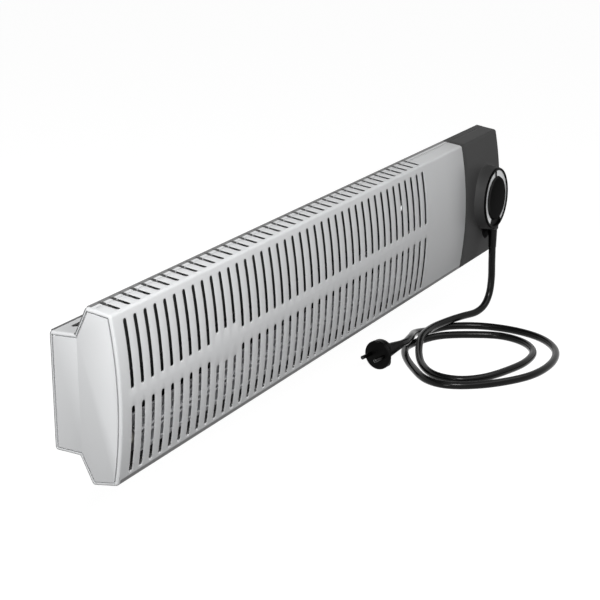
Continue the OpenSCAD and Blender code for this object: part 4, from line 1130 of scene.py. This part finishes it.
def relief_mesh(sizes, top):
    """The strain relief: a flange inside the hood, a neck, and a sleeve that tapers to the lead."""
    middle = ((RELIEF_LOW.x + RELIEF_HIGH.x) / 2, (RELIEF_LOW.y + RELIEF_HIGH.y) / 2)
    low, high = RELIEF_LOW.z, RELIEF_HIGH.z
    lead_r, end_r = sizes.diameter / 2, sizes.diameter / 2 + 0.4 * MM
    flange_r, flange_end, neck_r = 5.0 * MM, high - 2 * MM, 4.4 * MM
    sleeve_r, bend, end_bend = 6.0 * MM, 0.6 * MM, 0.5 * MM
    profile = [(flange_r, high), (flange_r, flange_end), (neck_r, flange_end), (neck_r, top),
               (sleeve_r - bend, top), (sleeve_r, top - bend)]
    steps = 12
    for k in range(1, steps):
        share = k / steps
        profile.append((sleeve_r - (sleeve_r - end_r) * share,
                        top - bend + (low + end_bend - top + bend) * share))
    profile += [(end_r, low + end_bend), (lead_r + 0.2 * MM, low), (lead_r, low)]
    maker = MeshMaker()
    maker.rings([[Vector((middle[0] + radius * cosine, middle[1] + radius * sine, height))
                  for sine, cosine in full_turn(32)] for radius, height in profile])
    return maker


def plug_place(along, across, up):
    """A place on the plug: along from its face towards the lead, across, and up from its axis."""
    side = Vector((-PLUG_WAY.y, PLUG_WAY.x, 0))
    return PLUG_FACE - along * PLUG_WAY + across * side + up * Vector((0, 0, 1))


def plug_mesh(sizes):
    """The plug: a round body with grip flats, rounded edges, a shoulder and a long neck."""
    radius, body, neck = sizes.plug_radius, sizes.plug_length, sizes.neck_length
    bend = 1.2 * MM
    # Half the width across the grip flats, and a width that leaves a section round
    flat, whole = radius - 6.2 * MM, 1.0
    neck_start, neck_r, neck_power = 1 * MM, 10 * MM, 0.92
    lead_r = sizes.diameter / 2 + 0.2 * MM
    # Place along the axis, radius and half width of each section
    sections = [(bend * (1 - cosine), radius - bend * (1 - sine), whole)
                for sine, cosine in quarter_arc(4)]
    sections += [(4.0 * MM, radius, whole), (4.4 * MM, radius - 0.3 * MM, flat + 3 * MM),
                 (4.5 * MM, radius - 0.3 * MM, flat), (body - 2.4 * MM, radius - 0.3 * MM, flat),
                 (body - 1.6 * MM, radius - 0.7 * MM, flat),
                 (body - 0.6 * MM, radius - 1.8 * MM, flat),
                 (body, radius - 3.4 * MM, flat - 0.4 * MM), (body + 0.2 * MM, 11.5 * MM, 11 * MM),
                 (body + neck_start, neck_r, whole)]
    steps = 12
    for k in range(1, steps + 1):
        share = k / steps
        sections.append((body + neck_start + (neck - neck_start) * share,
                         neck_r + (lead_r - neck_r) * share**neck_power, whole))
    maker = MeshMaker()
    maker.rings([[plug_place(along, max(-limit, min(limit, size * cosine)), size * sine)
                  for sine, cosine in full_turn(64)] for along, size, limit in sections])
    return maker


# Operators, one for each piece or group of like pieces


class RADIATOR_OT_front_cover(bpy.types.Operator):
    """Builds the slotted front cover"""

    bl_idname = "radiator.front_cover"
    bl_label = "Front cover"

    def execute(self, context):
        settings = context.scene.radiator
        cover = front_cover_mesh(settings.housing).piece("slotted_cover")
        # Painted shade: the height of the dark band painted along the cover's lower edge
        shade_band = 5.6 * MM
        shade_top = -settings.housing.front_height / 2 + shade_band
        cover.data.materials.append(cover_abs_with_painted_shade(settings.finish, shade_top))
        # Painted shade: the cover's inner side gets a darker grey than the same ABS outside
        cover.data.materials.append(moulding("light_grey_abs_inner_side_painted_shade", "#8A8B8B", 0.5))
        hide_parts("front_cover")
        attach(cover, "housing")
        return {"FINISHED"}


class RADIATOR_OT_end_cap(bpy.types.Operator):
    """Builds the left end cap with its groove"""

    bl_idname = "radiator.end_cap"
    bl_label = "Left end cap"

    def execute(self, context):
        settings = context.scene.radiator
        cap = end_cap_mesh(settings.housing).piece("end_plate")
        # Painted shade: the height of the dark band painted along the cap's lower edge
        shade_band = 1.2 * MM
        cap.data.materials.append(cover_abs_with_painted_shade(settings.finish, CAP_LOW.z + shade_band))
        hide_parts("left_end_cap")
        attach(cap, "housing")
        return {"FINISHED"}


class RADIATOR_OT_rear_casing(bpy.types.Operator):
    """Finishes the rear casing"""

    bl_idname = "radiator.rear_casing"
    bl_label = "Rear casing"

    def execute(self, context):
        # The casing's material has painted shade inside, on its slot walls and joint, and along its
        # rear edges
        give(casing_abs_with_painted_shade(context.scene.radiator.finish), "rear_casing")
        soften(NODES["rear_casing"], 0.35 * MM)
        return {"FINISHED"}


class RADIATOR_OT_head(bpy.types.Operator):
    """Builds the thermostat head's front shell and finishes its rear one"""

    bl_idname = "radiator.head"
    bl_label = "Thermostat head"

    def execute(self, context):
        settings = context.scene.radiator
        # The head's material carries painted shade: darker where it looks up and along its right
        # end
        grained = head_abs_with_painted_shade(settings.finish)
        shell = head_mesh(settings.housing, settings.head).piece("head_shell", sharp=40)
        shell.data.materials.append(grained)
        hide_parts("control_housing")
        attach(shell, "housing")
        give(grained, "control_rear_cover")
        soften(NODES["control_rear_cover"], 0.35 * MM)
        return {"FINISHED"}


class RADIATOR_OT_dial(bpy.types.Operator):
    """Builds the bezel, the scale and the knob"""

    bl_idname = "radiator.dial"
    bl_label = "Dial"

    def execute(self, context):
        settings, finish = context.scene.radiator, context.scene.radiator.finish
        sizes = settings.dial
        seat = (settings.head.seat_radius - 0.3 * MM, settings.head.boss_depth)
        for name, mesh, material, node, slot, body in (
            ("dial_ring", bezel_mesh(sizes, seat), bezel_abs, "dial_bezel", "bezel_black",
             "housing"),
            ("dial_scale", scale_mesh(sizes), scale_foil, "scale_ring", "scale_silver", "housing"),
            ("dial_knob", knob_mesh(sizes), knob_abs, "control_knob", "knob_black", "dial"),
        ):
            piece = mesh.piece(name)
            piece.data.materials.append(material(finish))
            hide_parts(node)
            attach(piece, body)
        give(knob_abs(finish), "knob_pointer")
        return {"FINISHED"}


class RADIATOR_OT_element(bpy.types.Operator):
    """Finishes the heating element and the metal round it"""

    bl_idname = "radiator.element"
    bl_label = "Element"

    def execute(self, context):
        give(drawn_metal("extruded_aluminium", "#BDBEC0", 0.36, 0.5 * MM), "element_fins")
        give(drawn_metal("annealed_steel_sheath", "#5A5856", 0.4, 0.4 * MM), "element_rod")
        give(drawn_metal("zinc_plated_sheet", "#B9BABB", 0.34, 0.6 * MM),
             "bulkhead", "thermostat_bracket", "element_bracket_left", "element_bracket_right",
             "cutout_clip", "cord_clamp")
        give(drawn_metal("black_annealed_shield", "#2C2C2D", 0.5, 0.8 * MM), "heat_shield")
        give(moulding("unglazed_steatite", "#E2DED2", 0.6, 0.4), "element_bushes")
        return {"FINISHED"}


class RADIATOR_OT_fittings(bpy.types.Operator):
    """Finishes the thermostat, the wiring and the screws"""

    bl_idname = "radiator.fittings"
    bl_label = "Thermostat, wiring and screws"

    def execute(self, context):
        give(drawn_metal("turned_steel", "#C4C4C2", 0.3, 0.3 * MM, axis=1),
             "thermostat_shaft", "thermostat_nut", "element_terminals", "cover_screws",
             "control_screws", "bracket_screws", "shield_screws", "earth_screw")
        give(drawn_metal("drawn_copper", "#C08060", 0.3, 0.3 * MM), "sensor_bulb")
        give(moulding("ivory_phenolic", "#D9CFB4", 0.45), "thermostat_body", "terminal_block")
        give(moulding("black_phenolic", "#222222", 0.4), "thermal_cutout")
        give(moulding("brown_pvc_insulation", "#6B3F22", 0.4), "live_wire")
        give(moulding("blue_pvc_insulation", "#2F62A8", 0.4), "neutral_wire")
        give(moulding("green_yellow_pvc_insulation", "#8DAA2A", 0.4), "earth_wire")
        give(moulding("white_silicone_sleeve", "#E6E6E2", 0.55), "element_wires")
        return {"FINISHED"}


class RADIATOR_OT_lead(bpy.types.Operator):
    """Builds the mains lead with its strain relief and plug"""

    bl_idname = "radiator.lead"
    bl_label = "Mains lead"

    def execute(self, context):
        sizes, finish = context.scene.radiator.lead, context.scene.radiator.finish
        sheath = sheath_pvc(finish)
        lead, line = lead_curve(sizes)
        lead.data.materials.append(sheath)
        relief = relief_mesh(sizes, -context.scene.radiator.head.hood_drop).piece("tapered_relief")
        relief.data.materials.append(sheath)
        plug = plug_mesh(sizes).piece("moulded_plug", sharp=50)
        plug.data.materials.append(plug_pvc(finish))
        give(pin_metal(), "plug_pins", "plug_earth_clips")
        for piece, node, slot in ((lead, "mains_cord", "lead_black"),
                                  (relief, "strain_relief", "lead_black"),
                                  (plug, "plug_body", "plug_black")):
            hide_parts(node)
            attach(piece, "housing")
        return {"FINISHED"}


class RADIATOR_OT_stage(bpy.types.Operator):
    """Sets the camera, the lamps, the floor and the surrounding light"""

    bl_idname = "radiator.stage"
    bl_label = "Stage"

    def execute(self, context):
        stage = context.scene.radiator.stage
        set_camera(context.scene, stage)
        set_floor(stage)
        set_lamps(stage)
        set_world(context.scene, stage)
        context.scene.view_settings.view_transform = "Standard"
        return {"FINISHED"}


def set_camera(scene, stage):
    """Stands the camera where the photograph was taken from."""
    data = bpy.data.cameras.new("camera")
    data.lens = stage.lens
    data.clip_end = 100
    camera = bpy.data.objects.new("camera", data)
    scene.collection.objects.link(camera)
    ahead = Vector((math.sin(stage.yaw) * math.cos(stage.pitch),
                    math.cos(stage.yaw) * math.cos(stage.pitch), math.sin(stage.pitch)))
    right = ahead.cross(Vector((0, 0, 1))).normalized()
    up = right.cross(ahead)
    turn = Matrix.Rotation(-stage.roll, 3, ahead)
    right, up = turn @ right, turn @ up
    camera.matrix_world = Matrix.Translation(stage.eye) @ Matrix(
        (right, up, -ahead)).transposed().to_4x4()
    scene.camera = camera


def seen_rays(tree):
    """1 for the rays that see the background, directly, mirrored or through something clear."""
    rays = add_node(tree, "ShaderNodeLightPath")
    direct = math_of(tree, "MAXIMUM", rays.outputs["Is Camera Ray"], rays.outputs["Is Glossy Ray"])
    return math_of(tree, "MAXIMUM", direct, rays.outputs["Is Transmission Ray"])


def set_floor(stage):
    """A wide pale floor at the level that the lead lies on."""
    maker = MeshMaker()
    reach = 40.0
    maker.face([(x, y, stage.floor_level) for x, y in (
        (-reach, -reach), (reach, -reach), (reach, reach), (-reach, reach))])
    floor = maker.piece("floor")
    material = bpy.data.materials.new("white_paper")
    material.use_nodes = True
    tree = material.node_tree
    tree.nodes.clear()
    paper = add_node(tree, "ShaderNodeBsdfDiffuse", {"Color": (0.03, 0.03, 0.03, 1)})
    seen_paper = add_node(tree, "ShaderNodeBsdfDiffuse", {"Color": (0.2, 0.2, 0.2, 1)})
    glow = add_node(tree, "ShaderNodeEmission", {"Strength": 0.96})
    seen = add_node(tree, "ShaderNodeAddShader", {
        0: seen_paper.outputs[0], 1: glow.outputs[0]})
    mix = add_node(tree, "ShaderNodeMixShader", {
        0: seen_rays(tree), 1: paper.outputs[0], 2: seen.outputs[0]})
    add_node(tree, "ShaderNodeOutputMaterial", {"Surface": mix.outputs[0]})
    floor.data.materials.append(material)


def set_lamps(stage):
    """A key lamp above the left front, a strip along the front, and lamps for the left end."""
    # Place and aim in metres, size, and share of the key lamp's power
    for name, place, aim, size, share in (
        ("key", (-1.24, -0.65, 1.39), (-0.2, 0.0, 0.0), (0.6, 0.6), 1.0),
        ("strip", (-0.06, -0.48, 0.35), (-0.06, -0.07, 0.0), (1.2, 0.24), 0.082),
        ("corner", (-0.48, -0.4, 0.3), (-0.4, -0.07, 0.05), (0.15, 0.15), 0.02),
        ("end", (-1.5, -0.05, 0.1), (-0.45, -0.04, 0.0), (0.4, 0.4), 0.25),
    ):
        data = bpy.data.lights.new(name, "AREA")
        data.shape, data.energy = "RECTANGLE", stage.key_power * share
        data.size, data.size_y = size
        lamp = bpy.data.objects.new(name, data)
        bpy.context.collection.objects.link(lamp)
        lamp.location = place
        lamp.visible_camera = False
        lamp.rotation_euler = (Vector(aim) - Vector(place)).to_track_quat("-Z", "Y").to_euler()


def set_world(scene, stage):
    """White to the camera, softer to the object."""
    world = bpy.data.worlds.new("surroundings")
    world.use_nodes = True
    tree = world.node_tree
    tree.nodes.clear()
    strength = mask(tree, seen_rays(tree), 0.0, 1.0, stage.ambient, 1.0)
    back = add_node(tree, "ShaderNodeBackground", {"Color": (1, 1, 1, 1), "Strength": strength})
    add_node(tree, "ShaderNodeOutputWorld", {"Surface": back.outputs[0]})
    scene.world = world


class RADIATOR_PT_panel(bpy.types.Panel):
    """Lists the radiator's settings and operators"""

    bl_idname = "RADIATOR_PT_panel"
    bl_label = "Radiator"
    bl_space_type = "VIEW_3D"
    bl_region_type = "UI"
    bl_category = "Radiator"

    def draw(self, context):
        settings = context.scene.radiator
        for title, group in (("Housing", settings.housing), ("Head", settings.head),
                             ("Dial", settings.dial), ("Lead", settings.lead),
                             ("Colours", settings.finish), ("Stage", settings.stage)):
            box = self.layout.box()
            box.label(text=title)
            for name in group.__annotations__:
                box.prop(group, name)
        for operator in OPERATORS:
            self.layout.operator(operator.bl_idname)


OPERATORS = (RADIATOR_OT_stage, RADIATOR_OT_lead, RADIATOR_OT_front_cover, RADIATOR_OT_end_cap,
             RADIATOR_OT_rear_casing, RADIATOR_OT_head, RADIATOR_OT_dial, RADIATOR_OT_element,
             RADIATOR_OT_fittings)
CLASSES = (HousingSettings, HeadSettings, DialSettings, LeadSettings, FinishSettings, StageSettings,
           RadiatorSettings, *OPERATORS, RADIATOR_PT_panel)


def register():
    for made in CLASSES:
        bpy.utils.register_class(made)
    bpy.types.Scene.radiator = PointerProperty(type=RadiatorSettings)


def unregister():
    del bpy.types.Scene.radiator
    for made in reversed(CLASSES):
        bpy.utils.unregister_class(made)


def main():
    """Builds everything in order."""
    register()
    bpy.ops.radiator.stage()
    bpy.ops.radiator.lead()
    bpy.ops.radiator.front_cover()
    bpy.ops.radiator.end_cap()
    bpy.ops.radiator.rear_casing()
    bpy.ops.radiator.head()
    bpy.ops.radiator.dial()
    bpy.ops.radiator.element()
    bpy.ops.radiator.fittings()


if __name__ == "__main__":
    main()
